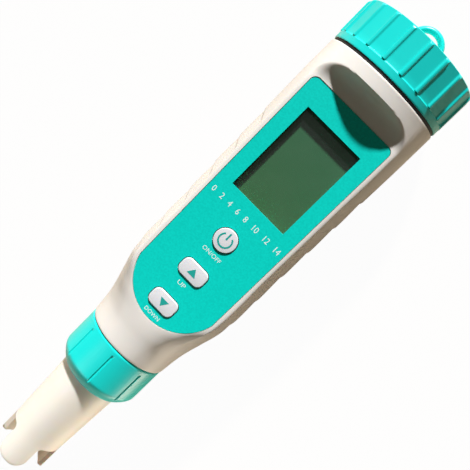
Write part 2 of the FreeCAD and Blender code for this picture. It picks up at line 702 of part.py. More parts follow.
def make_display_frame():
    """The light well that carries the glass above the board."""
    glass_width = "window_width + 2 * glass_margin + 2 * frame_gap"
    glass_length = "window_length + 2 * glass_margin + glass_ledge + 2 * frame_gap"
    shelf = f"({LABEL_TOP} - glass_drop - 2 * glass_thickness - reflector_thickness)"
    base = "(board_top + 0.1 + rail_height + 0.05)"
    middle = "-window_centre - glass_ledge / 2"
    tube = "cell_radius + tube_gap + tube_wall + 0.3"
    walls = block("frame_walls", f"{glass_width} + 2 * frame_wall", f"{glass_length} + 2 * frame_wall",
                  f"{CAVITY_TOP} - frame_gap - {base}", "0", middle, base)
    tools = [
        block("glass_room", glass_width, glass_length, "6", "0", middle, shelf),
        block("shelf_opening", "window_width - shelf_bite", f"{glass_length} - 2 * shelf_bite", "6", "0",
              f"{middle} - shelf_bite", f"{base} - 1"),
        lying_rod("tube_notch", tube, "board_start", "0", "-board_start", "0"),
    ]
    feet = []
    for end, station in (("top", "rail_start + 2"), ("low", "window_centre + window_length / 2 - 2")):
        for side in (-1, 1):
            x = f"{side} * (window_width / 2)"
            feet.append(block(f"foot_{end}_{side + 1}", "frame_foot / 2", "frame_foot",
                              f"{shelf} - board_top", x, f"-({station})", "board_top"))
    level_piece(join("frame_piece", [cut("frame_ring", walls, tools)] + feet), "lcd_frame")
    rubber_height = f"{LABEL_TOP} - glass_drop - 2 * glass_thickness - board_top"
    station = "window_centre + window_length / 2 + glass_margin + glass_ledge / 2"
    level_piece(block("rubber", "window_width - 2", "rubber_width", rubber_height, "0", f"-({station})",
                      "board_top"), "elastomer_strip")


def make_board():
    """The circuit board between its rails, with what is soldered to it."""
    under = "board_top - board_thickness"
    board = block("board_sheet", BOARD_WIDTH, "board_end - board_start", "board_thickness",
                  "0", "-(board_start + board_end) / 2", under)
    level_piece(board, "circuit_board")
    chips = [("main_chip", "chip_size", "chip_station"), ("analog_chip", "analog_size", "analog_station")]
    for label, side, station in chips:
        chip = block(label + "_body", side, side, "chip_height", "0", f"-{station}", f"{under} - chip_height")
        level_piece(chip, label)
    crystal = lying_rod("crystal_can", "crystal_radius", "crystal_length", f"{BOARD_WIDTH} / 4",
                        "-crystal_station - crystal_length / 2", f"{under} - crystal_radius")
    level_piece(crystal, "crystal")
    rear = "housing_length - electrode_rear - socket_gap"
    low = "(-nose_drop - socket_size / 2)"
    socket = block("socket_block", "socket_size", "socket_depth", f"{under} - {low}", "0",
                   f"-({rear} - socket_depth / 2)", low)
    holes = []
    for number in range(round(size("contact_count"))):
        x, z = contact_place(number)
        holes.append(lying_rod(f"socket_hole_{number}", "contact_radius + contact_play",
                               "contact_reach + 1", x, f"-({rear}) - 0.5", f"{z} - nose_drop"))
    level_piece(cut("socket_piece", socket, holes), "electrode_socket")


def contact_place(number):
    """Across and up places of one plug contact on its circle."""
    turn = f"({number} + 0.5) * 360 / contact_count"
    return f"contact_circle * cos({turn})", f"contact_circle * sin({turn})"


def make_key(label, station, cap, flange):
    """A key cap with the flange that keeps it in, its switch and the switch's plunger."""
    switch_top = "board_top + switch_height"
    hole_depth = "plunger_depth + key_travel + plunger_floor"
    body = block(f"{label}_switch_body", "switch_size", "switch_size", "switch_height", "0", f"-({station})",
                 "board_top")
    hole = rod(f"{label}_switch_hole", "plunger_radius + plunger_play", hole_depth, "0", f"-({station})",
               f"{switch_top} - ({hole_depth})")
    level_piece(cut(f"{label}_switch_piece", body, [hole]), f"{label}_switch")
    start = f"{switch_top} - plunger_depth"
    plunger = rod(f"{label}_plunger_rod", "plunger_radius",
                  f"{CAVITY_TOP} - key_seat - key_flange_height - ({start})", "0", f"-({station})", start)
    level_piece(plunger, f"{label}_plunger")
    level_piece(join(f"{label}_key_piece", [cap, flange]), f"{label}_key")


def make_keys():
    """A round power key and two rounded blocks that slide through the label."""
    flange_base = f"({CAVITY_TOP} - key_seat - key_flange_height)"
    height = f"{LABEL_TOP} + key_rise - {flange_base}"
    cap = turned("power_cap", [("0", "0"), ("power_radius", "0"), ("power_radius", height), ("0", height)])
    rounded(cap, "power_edge", "key_edge", is_ring("power_radius", height))
    seat(cap, "0", "-power_station", flange_base)
    flange = rod("power_flange", "power_radius + key_flange", "key_flange_height", "0", "-power_station",
                 flange_base)
    make_key("power", "power_station", cap, flange)
    for key, station in KEYS:
        cap = key_prism(f"{key}_cap", "key_width", "key_length", "key_corner", flange_base, height, station)
        top = size(f"{LABEL_TOP} + key_rise")
        rounded(cap, f"{key}_edge", "key_edge", lambda edge: abs(edge.CenterOfMass.z - top) < 0.01)
        flange = block(f"{key}_flange", "key_width + 2 * key_flange", "key_length + 2 * key_flange",
                       "key_flange_height", "0", f"-{station}", flange_base)
        make_key(key, station, cap, flange)


STACK_END = "(cell_top - cell_count * cell_height)"
SPRING_END = f"({STACK_END} - spring_length)"
TUBE_END = f"({SPRING_END} - strip_thickness - tube_floor)"
LEDGE = "(neck_length - ledge_depth)"
PLATE = f"({LEDGE} + holder_flange + strip_thickness + plate_gap)"


def make_battery_bay():
    """Holder tube with its flange, four stacked cells, spring and two contact strips."""
    outer = "cell_radius + tube_gap + tube_wall"
    under_board = "board_top - board_thickness"
    strip_x = f"({outer} + 0.2 + strip_thickness / 2)"
    tube = lying_rod("holder_tube", outer, f"{LEDGE} + holder_flange - {TUBE_END}", "0", TUBE_END, "0")
    flange = lying_rod("holder_flange_ring", "bore_radius - holder_play", "holder_flange", "0", LEDGE, "0")
    tools = [
        lying_rod("cell_bore", "cell_radius + tube_gap", "60", "0", f"{TUBE_END} + tube_floor", "0"),
        block("strip_slot", "strip_thickness + 0.2", "3 * holder_flange", "strip_width + 0.4", strip_x, LEDGE,
              "-strip_width / 2 - 0.2"),
        block("tab_slot", "strip_width + 0.4", "3", "strip_thickness + 0.2", "0", TUBE_END,
              f"{under_board} - strip_thickness - 0.1"),
    ]
    level_piece(cut("holder_piece", join("holder_solid", [tube, flange]), tools), "battery_holder")
    for number in range(1, round(size("cell_count")) + 1):
        cell = turned(f"cell_{number}_body", [
            ("0", "0"), ("cell_terminal", "0"), ("cell_terminal", "cell_step"), ("cell_radius", "cell_step"),
            ("cell_radius", "cell_height - cell_edge"), ("cell_radius - cell_edge", "cell_height"),
            ("0", "cell_height")])
        cap_piece(cell, f"button_cell_{number}", f"cell_top - {number} * cell_height")
    make_spring()
    disc = lying_rod("negative_disc", "spring_radius + 1", "strip_thickness", "0",
                     f"{SPRING_END} - strip_thickness", "0")
    tab_length = f"({SPRING_END} + board_start + strip_width)"
    tab = block("negative_tab", "strip_width", tab_length, "strip_thickness", "0",
                f"{SPRING_END} - {tab_length} / 2", f"{under_board} - strip_thickness")
    level_piece(join("negative_piece", [disc, tab]), "negative_strip")
    reach = f"({LEDGE} + holder_flange + board_start + strip_width)"
    leg = block("positive_leg", "strip_thickness", reach, "strip_width", strip_x,
                f"{LEDGE} + holder_flange - {reach} / 2", "-strip_width / 2")
    top = block("positive_top", "strip_width", "strip_thickness", "strip_width",
                f"{strip_x} + strip_width / 3", f"{LEDGE} + holder_flange + strip_thickness / 2",
                "-strip_width / 2")
    foot = block("positive_foot", "strip_thickness", "strip_width", under_board, strip_x,
                 "-board_start - strip_width / 2", "0")
    level_piece(join("positive_piece", [leg, top, foot]), "positive_strip")


def make_spring():
    """Wire swept along a helix, between the last cell and the strip."""
    helix = doc.addObject("Part::Helix", "spring_path")
    rise = "(spring_length - 2 * spring_wire)"
    bind(helix, Pitch=f"{rise} / spring_turns", Height=rise, Radius="spring_radius")
    wire = doc.addObject("Part::RegularPolygon", "spring_section")
    bind(wire, Circumradius="spring_wire", Polygon="spring_sides")
    wire.Placement = Placement(Vector(), Rotation(Vector(1, 0, 0), 90))
    seat(wire, "spring_radius")
    doc.recompute()
    spring = doc.addObject("Part::Sweep", "spring_sweep")
    spring.Sections = [wire]
    spring.Spine = (helix, [f"Edge{number}" for number in range(1, len(helix.Shape.Edges) + 1)])
    spring.Solid = True
    spring.Frenet = True
    cap_piece(spring, "battery_spring", f"{SPRING_END} + spring_wire")


def make_cap():
    """Ribbed screw cap with its lanyard loop, seal, contact plate and screw."""
    ring = cut("seal_ring", rod("seal_disc", "cap_radius - seal_inset", "seal_thickness"),
               [rod("seal_bore", "neck_radius + thread_play", "seal_thickness + 2", "0", "0", "-1")])
    cap_piece(ring, "cap_seal")
    bore = "neck_radius + thread_play"
    ceiling = "cap_height - cap_end_wall"
    post = f"{PLATE} + plate_thickness - seal_thickness"
    flange = "(cap_radius - flange_inset)"
    cap = turned("cap_body", [
        (bore, "0"), (flange, "0"), (flange, "cap_flange"), ("cap_radius", "cap_flange"),
        ("cap_radius", "cap_height"), ("0", "cap_height"), ("0", post), ("post_radius", post),
        ("post_radius", ceiling), (bore, ceiling)])
    rounded(cap, "cap_end_edge", "cap_edge", is_ring("cap_radius", "cap_height"))
    rounded(cap, "cap_flange_edge", "flange_edge", is_ring(flange, "0"))
    sketch = new_sketch(cap, "grip_outline", "XY_Plane", "cap_flange")
    turn = Rotation(Vector(0, 0, 1), size("grip_turn - 180 / grip_count"))
    sketch.AttachmentOffset = Placement(sketch.AttachmentOffset.Base, turn)
    root = "cap_radius - grip_depth"
    beyond = "(cap_radius + 2)"
    half_root = f"({root}) * tan(180 / grip_count) - grip_rib / 2"
    half_beyond = f"{beyond} * tan(180 / grip_count) - grip_rib / 2"
    outline(sketch, [(f"-({half_root})", root), (half_root, root), (half_beyond, beyond),
                     (f"-({half_beyond})", beyond)])
    recess = pocketed(cap, "grip_recess", sketch, "cap_height - cap_flange + 1")
    around(cap, "grip", recess, "grip_count")
    centre = "cap_height + loop_reach - loop_radius"
    foot = "cap_height - 0.5"
    inner = "loop_radius - loop_band"
    depth = "-loop_thickness / 2"
    arch = join("loop_solid", [
        lying_rod("loop_outer", "loop_radius", "loop_thickness", "0", depth, centre),
        block("loop_legs", "2 * loop_radius", "loop_thickness", f"{centre} - ({foot})", "0", "0", foot)])
    room = join("loop_room", [
        lying_rod("loop_inner", inner, "loop_thickness + 2", "0", f"{depth} - 1", centre),
        block("loop_gap", f"2 * ({inner})", "loop_thickness + 2", f"{centre} - ({foot})", "0", "0", foot)])
    hole = rod("screw_hole", "screw_shank", "screw_length", "0", "0", f"{PLATE} - seal_thickness")
    whole = join("cap_with_loop", [cap, cut("loop_band_arch", arch, [room])])
    cap_piece(cut("cap_piece", whole, [hole]), "battery_cap", "seal_thickness")
    plate = cut("plate_ring", rod("plate_disc", "plate_radius", "plate_thickness"),
                [rod("plate_hole", "screw_shank", "2", "0", "0", "-1")])
    cap_piece(plate, "cap_contact", PLATE)
    screw = join("screw_solid", [
        rod("screw_head_disc", "screw_head", "screw_head_height", "0", "0", "-screw_head_height"),
        rod("screw_shank_rod", "screw_shank", "screw_length")])
    cap_piece(screw, "contact_screw", PLATE)


FLANGE = "(spigot_length + gasket_thickness)"


def make_collar():
    """The lock collar turns on the housing and holds the electrode by its flange."""
    bore = "spigot_radius + thread_play"
    lip = f"{FLANGE} + flange_thickness + collar_seat"
    throat = "tube_top_radius + collar_bore_play"
    collar = turned("collar_body", [
        (bore, "collar_gap"), ("collar_radius", "collar_gap"), ("collar_radius", "collar_straight"),
        ("collar_end_radius", "collar_length"), (throat, "collar_length"), (throat, lip), (bore, lip)])
    rounded(collar, "collar_shoulder", "collar_round", is_ring("collar_radius", "collar_straight"))
    blades = [groove_blade(number) for number in range(round(size("groove_count")))]
    nose_piece(cut("collar_piece", collar, blades), "lock_collar")


def groove_blade(number):
    """Runs along the collar's straight part at one groove's depth, turned to that groove's place."""
    body = doc.addObject("PartDesign::Body", f"groove_{number}")
    sketch = new_sketch(body, f"groove_{number}_outline", "YZ_Plane")
    root = "collar_radius - groove_depth"
    beyond = "collar_radius + 2"
    outline(sketch, [(root, "groove_start"), (root, "collar_length"), (beyond, "collar_length"),
                     (beyond, "groove_start")])
    padded(body, f"groove_{number}_blade", sketch, "groove_width", symmetric=True)
    turn = number * 360 / size("groove_count") - size("groove_turn")
    body.Placement = Placement(Vector(), Rotation(Vector(0, 0, 1), turn))
    return body


def make_electrode():
    """Tube with a three-tongued crown, the core inside it and the sensors in the core."""
    straight = f"{FLANGE} + flange_thickness"
    tube = turned("tube_body", [
        ("tube_bore", "-electrode_rear"), ("electrode_plug_radius", "-electrode_rear"),
        ("electrode_plug_radius", FLANGE), ("flange_radius", FLANGE), ("flange_radius", straight),
        ("tube_top_radius", straight), ("tube_top_radius", "collar_length"),
        ("tube_tip_radius", "crown_station"), ("tube_tip_radius", "electrode_length"),
        ("tube_bore", "electrode_length")])
    tools = []
    for number in range(round(size("tongue_count"))):
        tools.append(crown_slot(number))
    nose_piece(cut("electrode_tube_piece", tube, tools), "electrode_tube")
    gasket = cut("gasket_ring", rod("gasket_disc", "flange_radius", "gasket_thickness"),
                 [rod("gasket_bore", "electrode_plug_radius + core_play", "2", "0", "0", "-0.5")])
    nose_piece(gasket, "electrode_gasket", "housing_length + spigot_length")


def crown_slot(number):
    """The slot between one tongue and the next, with the tongue ends rounded beside it."""
    turn = 90 + (number + 0.5) * 360 / size("tongue_count")
    body = doc.addObject("PartDesign::Body", f"slot_{number}")
    sketch = new_sketch(body, f"slot_{number}_outline", "YZ_Plane")
    half = "slot_half"
    root = "crown_station"
    shoulder = "electrode_length - tongue_round"
    open_end = "electrode_length + 0.2"
    outline(sketch, [
        (f"-{half}", root), (half, root), (half, shoulder), (f"{half} + tongue_round", open_end),
        (f"-{half} - tongue_round", open_end), (f"-{half}", shoulder)])
    reach = "tube_tip_radius + 2"
    padded(body, f"slot_{number}_block", sketch, reach)

    def at_root(edge):
        return abs(edge.CenterOfMass.z - size(root)) < 0.01 and abs(edge.Length - size(reach)) < 0.01

    rounded(body, f"slot_{number}_root", "slot_round", at_root)
    body.Placement = Placement(Vector(), Rotation(Vector(0, 0, 1), turn))
    return body


def make_sensors():
    """The potted core inside the tube with bulb, pins, probe, junction and plug contacts."""
    core = rod("core_rod", "tube_bore - core_play", "core_end + electrode_rear", "0", "0", "-electrode_rear")
    pins = [
        ("reference_junction", "junction_turn", "junction_radius", "junction_reach"),
        ("redox_pin", "redox_turn", "redox_radius", "redox_reach"),
        ("temperature_probe", "probe_turn", "probe_radius", "probe_reach"),
        ("conductivity_left", "90 + pin_turn", "pin_radius", "pin_reach"),
        ("conductivity_right", "90 - pin_turn", "pin_radius", "pin_reach"),
    ]
    holes = [rod("stem_hole", "stem_radius + core_play", "stem_depth + 1", "0", "0", "core_end - stem_depth")]
    made = {}
    for label, turn, radius, reach in pins:
        x = f"sensor_circle * cos({turn})"
        y = f"sensor_circle * sin({turn})"
        start = "core_end - sensor_depth"
        made[label] = rod(label + "_rod", radius, f"sensor_depth + {reach}", x, y, start)
        holes.append(rod(label + "_hole", f"{radius} + core_play", "sensor_depth + 1", x, y, start))
    contacts = []
    for number in range(round(size("contact_count"))):
        x, y = contact_place(number)
        length = "contact_reach + contact_depth"
        start = "-electrode_rear - contact_reach"
        contacts.append(rod(f"contact_{number}", "contact_radius", length, x, y, start))
        holes.append(rod(f"contact_hole_{number}", "contact_radius + core_play", "contact_depth + 1", x, y,
                         "-electrode_rear - 1"))
    nose_piece(cut("core_piece", core, holes), "electrode_core")
    for label in ("reference_junction", "redox_pin", "temperature_probe"):
        nose_piece(made[label], label)
    nose_piece(group("conductivity_pair", [made["conductivity_left"], made["conductivity_right"]]),
               "conductivity_pins")
    nose_piece(group("contact_set", contacts), "plug_contacts")
    make_bulb()


def make_bulb():
    """A blown glass bulb on its stem, with the silver wire inside."""
    outer = doc.addObject("Part::Sphere", "bulb_outer")
    inner = doc.addObject("Part::Sphere", "bulb_inner")
    bind(outer, Radius="bulb_radius")
    bind(inner, Radius="bulb_radius - bulb_wall")
    for ball in (outer, inner):
        seat(ball, "0", "0", "core_end + bulb_reach")
    stem_length = "stem_depth + bulb_reach"
    stem = rod("stem_outer", "stem_radius", stem_length, "0", "0", "core_end - stem_depth")
    bore = rod("stem_inner", "stem_radius - bulb_wall", stem_length, "0", "0",
               "core_end - stem_depth + bulb_wall")
    glass = cut("glass_piece", join("glass_solid", [outer, stem]), [inner, bore])
    nose_piece(glass, "glass_bulb")
    wire = rod("wire_rod", "wire_radius", "wire_length", "0", "0", "core_end - stem_depth + bulb_wall")
    nose_piece(wire, "silver_wire")


# Piece builders are called in the order a bench strip-down would meet them.
make_housing()
make_label()
make_display()
make_display_frame()
make_board()
make_keys()
make_battery_bay()
make_cap()
make_collar()
make_electrode()
make_sensors()

doc.recompute()
faults = [item.Label for item in doc.Objects if "Invalid" in item.State or "Error" in item.State]
faults += [item.Label for item in PIECES if item.Shape.isNull() or not item.Shape.isValid()]
if faults:
    raise RuntimeError("failed: " + ", ".join(faults))
os.makedirs("parts", exist_ok=True)
for item in PIECES:
    item.Shape.exportStep(f"parts/{item.Label}.step")
    print(item.Label, len(item.Shape.Solids), round(item.Shape.Volume, 1))
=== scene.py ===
"""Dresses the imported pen-type water tester and lights it like a catalogue picture.

Lengths in the code are millimetres. A station is a distance from the housing's rim towards the
electrode, and a height is measured above the axis of the battery cap.
"""
import json
import logging
import math
from dataclasses import dataclass, field
from enum import Enum
from typing import Callable, Optional, Union

import bpy
from mathutils import Euler, Matrix, Vector


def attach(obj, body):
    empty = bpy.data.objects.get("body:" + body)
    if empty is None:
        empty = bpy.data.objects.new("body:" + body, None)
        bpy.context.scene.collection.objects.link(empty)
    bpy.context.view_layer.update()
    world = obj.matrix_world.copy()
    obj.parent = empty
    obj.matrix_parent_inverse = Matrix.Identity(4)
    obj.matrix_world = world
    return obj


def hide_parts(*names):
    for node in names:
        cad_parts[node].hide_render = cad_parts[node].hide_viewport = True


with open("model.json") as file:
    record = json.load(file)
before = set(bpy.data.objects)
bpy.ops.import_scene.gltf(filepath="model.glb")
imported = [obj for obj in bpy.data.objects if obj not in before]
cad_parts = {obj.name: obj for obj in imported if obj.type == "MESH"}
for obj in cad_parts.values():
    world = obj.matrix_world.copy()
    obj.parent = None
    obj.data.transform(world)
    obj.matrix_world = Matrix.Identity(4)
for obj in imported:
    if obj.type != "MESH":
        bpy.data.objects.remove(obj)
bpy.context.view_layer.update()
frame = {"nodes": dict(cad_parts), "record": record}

log = logging.getLogger("water_tester")

MM = 0.001
RIM_Y = 65.45
AXIS_Z = 19.0
MERGE = 0.0005 * MM
CORNER_STEPS = 8

Colour = tuple[float, float, float, float]
Outline = list[tuple[float, float]]
Row = Callable[[float], Vector]
Number = Union[float, "Signal"]

WHITE: Colour = (1.0, 1.0, 1.0, 1.0)
DARK: Colour = (0.0, 0.0, 0.0, 1.0)


def at(x: float, station: float, height: float) -> Vector:
    """Turns a place in millimetres on the tester into metres in the row's frame."""
    return Vector((x, RIM_Y - station, AXIS_Z + height)) * MM


def smooth(low: float, high: float, value: float) -> float:
    """A soft step from 0 at low to 1 at high."""
    share = min(1.0, max(0.0, (value - low) / (high - low)))
    return share * share * (3.0 - 2.0 * share)


def soft_min(a: float, b: float, room: float) -> float:
    """The smaller of two lengths, with the corner between them rounded over room."""
    share = min(1.0, max(0.0, 0.5 + 0.5 * (b - a) / room))
    return b + (a - b) * share - room * share * (1.0 - share)


def lean(turn: float) -> float:
    """How steep an angle stands, in degrees and the same on both flanks."""
    return math.degrees(math.asin(max(-1.0, min(1.0, math.sin(turn)))))


# ---- shader maths


class Signal:
    """The output of a shader node, with arithmetic that adds Math nodes."""

    def __init__(self, graph: "Graph", socket: bpy.types.NodeSocket) -> None:
        """Keeps the graph, so that sums land in the same material."""
        self.graph = graph
        self.socket = socket

    def _math(self, operation: str, *values: Number) -> "Signal":
        """Adds one Math node."""
        return self.graph.node("ShaderNodeMath", {"operation": operation}, dict(enumerate(values)))

    def __add__(self, other: Number) -> "Signal":
        """Sum."""
        return self._math("ADD", self, other)

    def __sub__(self, other: Number) -> "Signal":
        """Difference."""
        return self._math("SUBTRACT", self, other)

    def __rsub__(self, other: Number) -> "Signal":
        """Difference with the number first."""
        return self._math("SUBTRACT", other, self)

    def __mul__(self, other: Number) -> "Signal":
        """Product."""
        return self._math("MULTIPLY", self, other)

    __radd__ = __add__

    def above(self, limit: Number) -> "Signal":
        """1 where the value is over the limit."""
        return self._math("GREATER_THAN", self, limit)

    def swing(self, width: float) -> "Signal":
        """The value moved to lie about zero, as wide as asked."""
        return (self - 0.5) * width


class Graph:
    """The node tree of one material."""

    def __init__(self, tree: bpy.types.NodeTree) -> None:
        """Starts from an empty tree."""
        self.tree = tree
        tree.nodes.clear()

    def node(self, kind: str, settings: Optional[dict] = None, inputs: Optional[dict] = None,
             output: Union[int, str] = 0) -> Signal:
        """Adds a node, sets it and connects it.

        Args:
            kind: The node's type.
            settings: Its properties; "stops" holds a ramp's (place, colour) pairs.
            inputs: Socket name or number to a value or a Signal.
            output: The socket that the Signal stands for.

        Returns:
            The chosen output.
        """
        made = self.tree.nodes.new(kind)
        for key, value in (settings or {}).items():
            if key == "stops":
                stops = made.color_ramp.elements
                while len(stops) < len(value):
                    stops.new(0.5)
                for stop, (place, colour) in zip(stops, value):
                    stop.position = place
                    stop.color = colour
            else:
                setattr(made, key, value)
        for key, value in (inputs or {}).items():
            if isinstance(value, Signal):
                self.tree.links.new(value.socket, made.inputs[key])
            else:
                made.inputs[key].default_value = value
        return Signal(self, made.outputs[output])

    def mix(self, factor: Number, first: Union[Colour, Signal],
            second: Union[Colour, Signal]) -> Signal:
        """Mixes two colours."""
        return self.node("ShaderNodeMix", {"data_type": "RGBA"},
                         {0: factor, 6: first, 7: second}, 2)

    def place(self) -> Signal:
        """The place in object space."""
        return self.node("ShaderNodeTexCoord", output="Object")

    def noise(self, grains_per_mm: float, detail: float = 2.0) -> Signal:
        """Even noise in object space, with the wished number of grains in a millimetre."""
        return self.node("ShaderNodeTexNoise", None, {
            "Vector": self.place(), "Scale": grains_per_mm / MM, "Detail": detail,
            "Roughness": 0.55})

    def finish(self, shader: Signal, kind: str = "ShaderNodeOutputMaterial") -> None:
        """Connects a shader to the tree's output."""
        output = self.tree.nodes.new(kind)
        self.tree.links.new(shader.socket, output.inputs["Surface"])


class Surface(Enum):
    """The ways in which a finish is built from nodes."""

    MOULDED = "moulded plastic"
    FILM = "fine-grained overlay film"
    METAL = "plated or drawn metal"
    CLEAR = "clear glass or plastic"
    DISPLAY = "display glass"
    RUBBER = "matt rubber"
    BOARD = "solder mask with tracks"
    PRINT = "printed ink"


def linear(red: int, green: int, blue: int) -> Colour:
    """Turns a colour as a screen shows it into the renderer's own values."""
    shares = [value / 255.0 for value in (red, green, blue)]
    return (*(share / 12.92 if share <= 0.04045 else ((share + 0.055) / 1.055) ** 2.4
              for share in shares), 1.0)


CLOUD_GRAINS = 0.06
DISPLAY_SPAN = (0.018, 0.050)
DISPLAY_NEAR_KEYS = (46, 94, 53)
DISPLAY_NEAR_CAP = (42, 96, 67)


@dataclass(frozen=True)
class Finish:
    """One material and how its surface varies.

    Attributes:
        name: The material's name.
        colour: Its colour as a screen shows it.
        surface: How it is built.
        roughness: Mean roughness.
        grains: Grains of the texture in a millimetre.
        relief: Height of that texture in millimetres.
        mottle: Share by which the colour wanders.
        coat: Weight of a clear coat.
        scatter: Weight of the light that passes under the skin.
        alpha: How much of what lies behind it is hidden.
        gloss: Strength of its reflection.
    """

    name: str
    colour: tuple[int, int, int]
    surface: Surface = Surface.MOULDED
    roughness: float = 0.45
    grains: float = 3.0
    relief: float = 0.01
    mottle: float = 0.04
    coat: float = 0.0
    scatter: float = 0.0
    alpha: float = 1.0
    gloss: float = 0.5

    def material(self) -> bpy.types.Material:
        """Builds the material on first use.

        Returns:
            The Blender material of this name.
        """
        found = bpy.data.materials.get(self.name)
        if found:
            return found
        material = bpy.data.materials.new(self.name)
        material.use_nodes = True
        graph = Graph(material.node_tree)
        builders = {
            Surface.FILM: self._film, Surface.METAL: self._metal, Surface.CLEAR: self._clear,
            Surface.DISPLAY: self._display, Surface.BOARD: self._board}
        inputs = {"Base Color": self._tint(0.0), "Roughness": self.roughness, "Alpha": self.alpha}
        inputs.update(builders.get(self.surface, self._moulded)(graph))
        graph.finish(graph.node("ShaderNodeBsdfPrincipled", None, inputs))
        return material

    def _relief(self, graph: Graph, height: Signal, depth: float) -> Signal:
        """A bump of the given depth in millimetres."""
        return graph.node("ShaderNodeBump", None, {
            "Strength": 1.0, "Distance": depth * MM, "Height": height})

    def _tint(self, share: float) -> Colour:
        """The colour made lighter or darker by a share."""
        return (*(min(1.0, channel * (1.0 + share)) for channel in linear(*self.colour)[:3]), 1.0)

    def _shades(self, graph: Graph, factor: Signal) -> Signal:
        """The colour, from darker to lighter as the factor rises."""
        return graph.mix(factor, self._tint(-self.mottle), self._tint(self.mottle))

    def _moulded(self, graph: Graph) -> dict:
        """Even plastic: cloudy colour, uneven gloss and a faint orange peel.

        Args:
            graph: The material's nodes.

        Returns:
            The shader's inputs by name.
        """
        cloud = graph.noise(CLOUD_GRAINS, detail=3.0)
        grain = graph.noise(self.grains)
        return {
            "Base Color": self._shades(graph, cloud),
            "Roughness": self.roughness + grain.swing(0.12) + cloud.swing(0.08),
            "Normal": self._relief(graph, grain, self.relief),
            "Coat Weight": self.coat,
            "Coat Roughness": 0.25,
            "Specular IOR Level": self.gloss,
            "Subsurface Weight": self.scatter,
            "Subsurface Radius": (1.0, 0.55, 0.3),
            "Subsurface Scale": 1.6 * MM,
        }

    def _film(self, graph: Graph) -> dict:
        """Printed film with a fine pearl grain that sparkles between light and dark.

        Args:
            graph: The material's nodes.

        Returns:
            The shader's inputs by name.
        """
        grain = graph.noise(self.grains, detail=1.0)
        speck = graph.node("ShaderNodeValToRGB", {"stops": [(0.32, DARK), (0.68, WHITE)]},
                           {"Fac": grain})
        return {
            "Base Color": self._shades(graph, speck),
            "Roughness": self.roughness + grain.swing(0.2),
            "Specular IOR Level": self.gloss,
            "Normal": self._relief(graph, grain, self.relief),
        }

    def _metal(self, graph: Graph) -> dict:
        """Plated metal with drawing lines across the tester.

        Args:
            graph: The material's nodes.

        Returns:
            The shader's inputs by name.
        """
        drawn = graph.node("ShaderNodeMapping", None, {
            "Vector": graph.place(), "Scale": (1.0, 0.06, 1.0)})
        lines = graph.node("ShaderNodeTexNoise", None, {
            "Vector": drawn, "Scale": self.grains / MM, "Detail": 2.0})
        return {
            "Base Color": self._shades(graph, lines),
            "Metallic": 1.0,
            "Roughness": self.roughness + lines.swing(0.2),
            "Normal": self._relief(graph, lines, self.relief),
        }

    def _clear(self, graph: Graph) -> dict:
        """Clear window: faint haze, with gloss from the shader."""
        haze = graph.noise(0.15, detail=3.0)
        return {"Roughness": self.roughness + haze * 0.04, "Alpha": self.alpha + haze.swing(0.01),
                "Specular IOR Level": self.gloss}

    def _display(self, graph: Graph) -> dict:
        """Display glass: greener towards the keys, bluer towards the cap, with a faint cloud.

        Args:
            graph: The material's nodes.

        Returns:
            The shader's inputs by name.
        """
        low, high = DISPLAY_SPAN
        y = graph.node("ShaderNodeSeparateXYZ", None, {0: graph.place()}, "Y")
        share = graph.node("ShaderNodeMapRange", None, {
            "Value": y, "From Min": low, "From Max": high, "To Min": 0.0, "To Max": 1.0})
        cloud = graph.noise(0.12, detail=3.0)
        shade = graph.mix(share, linear(*DISPLAY_NEAR_KEYS), linear(*DISPLAY_NEAR_CAP))
        return {
            "Base Color": graph.mix(cloud * 0.5, shade, self._tint(self.mottle)),
            "Roughness": self.roughness + cloud.swing(0.08),
            "Specular IOR Level": self.gloss,
            "Coat Weight": self.coat,
            "Coat Roughness": 0.05,
        }

    def _board(self, graph: Graph) -> dict:
        """Green solder mask with tracks that show as lighter bands.

        Args:
            graph: The material's nodes.

        Returns:
            The shader's inputs by name.
        """
        cells = graph.node("ShaderNodeTexVoronoi", {
            "feature": "DISTANCE_TO_EDGE", "distance": "MANHATTAN"}, {
            "Vector": graph.place(), "Scale": 0.35 / MM}, "Distance")
        track = 1.0 - cells.above(0.12)
        return {
            "Base Color": graph.mix(track, self._tint(0.0), self._tint(0.8)),
            "Roughness": self.roughness,
            "Normal": self._relief(graph, track, 0.02),
            "Coat Weight": self.coat,
        }


CREAM = Finish("shell cream", (231, 226, 220), roughness=0.42, grains=2.2, relief=0.006,
               mottle=0.02, scatter=0.08)
TUBE = Finish("tube cream", (236, 230, 220), roughness=0.45, grains=2.2, relief=0.006, mottle=0.02,
              scatter=0.4)
TEAL = Finish("moulded teal", (6, 214, 208), roughness=0.34, grains=1.6, relief=0.006, mottle=0.03,
              coat=0.15)
FILM = Finish("overlay teal", (2, 206, 193), Surface.FILM, roughness=0.5, grains=1.9, relief=0.006,
              mottle=0.06,
              gloss=0.15)
LENS = Finish("clear lens", (235, 240, 238), Surface.CLEAR, roughness=0.06, alpha=0.012, gloss=0.06)
DISPLAY = Finish("display glass", (58, 96, 66), Surface.DISPLAY, roughness=0.3, mottle=0.1,
                 gloss=0.1)
REAR_GLASS = Finish("rear glass", (120, 140, 118), Surface.DISPLAY, roughness=0.3, mottle=0.05)
KEY = Finish("key lilac white", (222, 222, 226), roughness=0.4, grains=2.5, relief=0.006,
             mottle=0.02, scatter=0.1)
INK_WHITE = Finish("white ink", (228, 240, 238), Surface.PRINT, roughness=0.5, grains=6.0,
                   mottle=0.03)
INK_TEAL = Finish("teal ink", (22, 160, 150), Surface.PRINT, roughness=0.5, grains=6.0, mottle=0.04)
SEAL = Finish("seal rubber", (14, 14, 15), Surface.RUBBER, roughness=0.6, grains=4.0, relief=0.01,
              mottle=0.2)
FRAME = Finish("frame white", (206, 206, 202), roughness=0.5, mottle=0.03)
BLACK = Finish("moulded black", (22, 22, 24), roughness=0.42, grains=4.0, mottle=0.1)
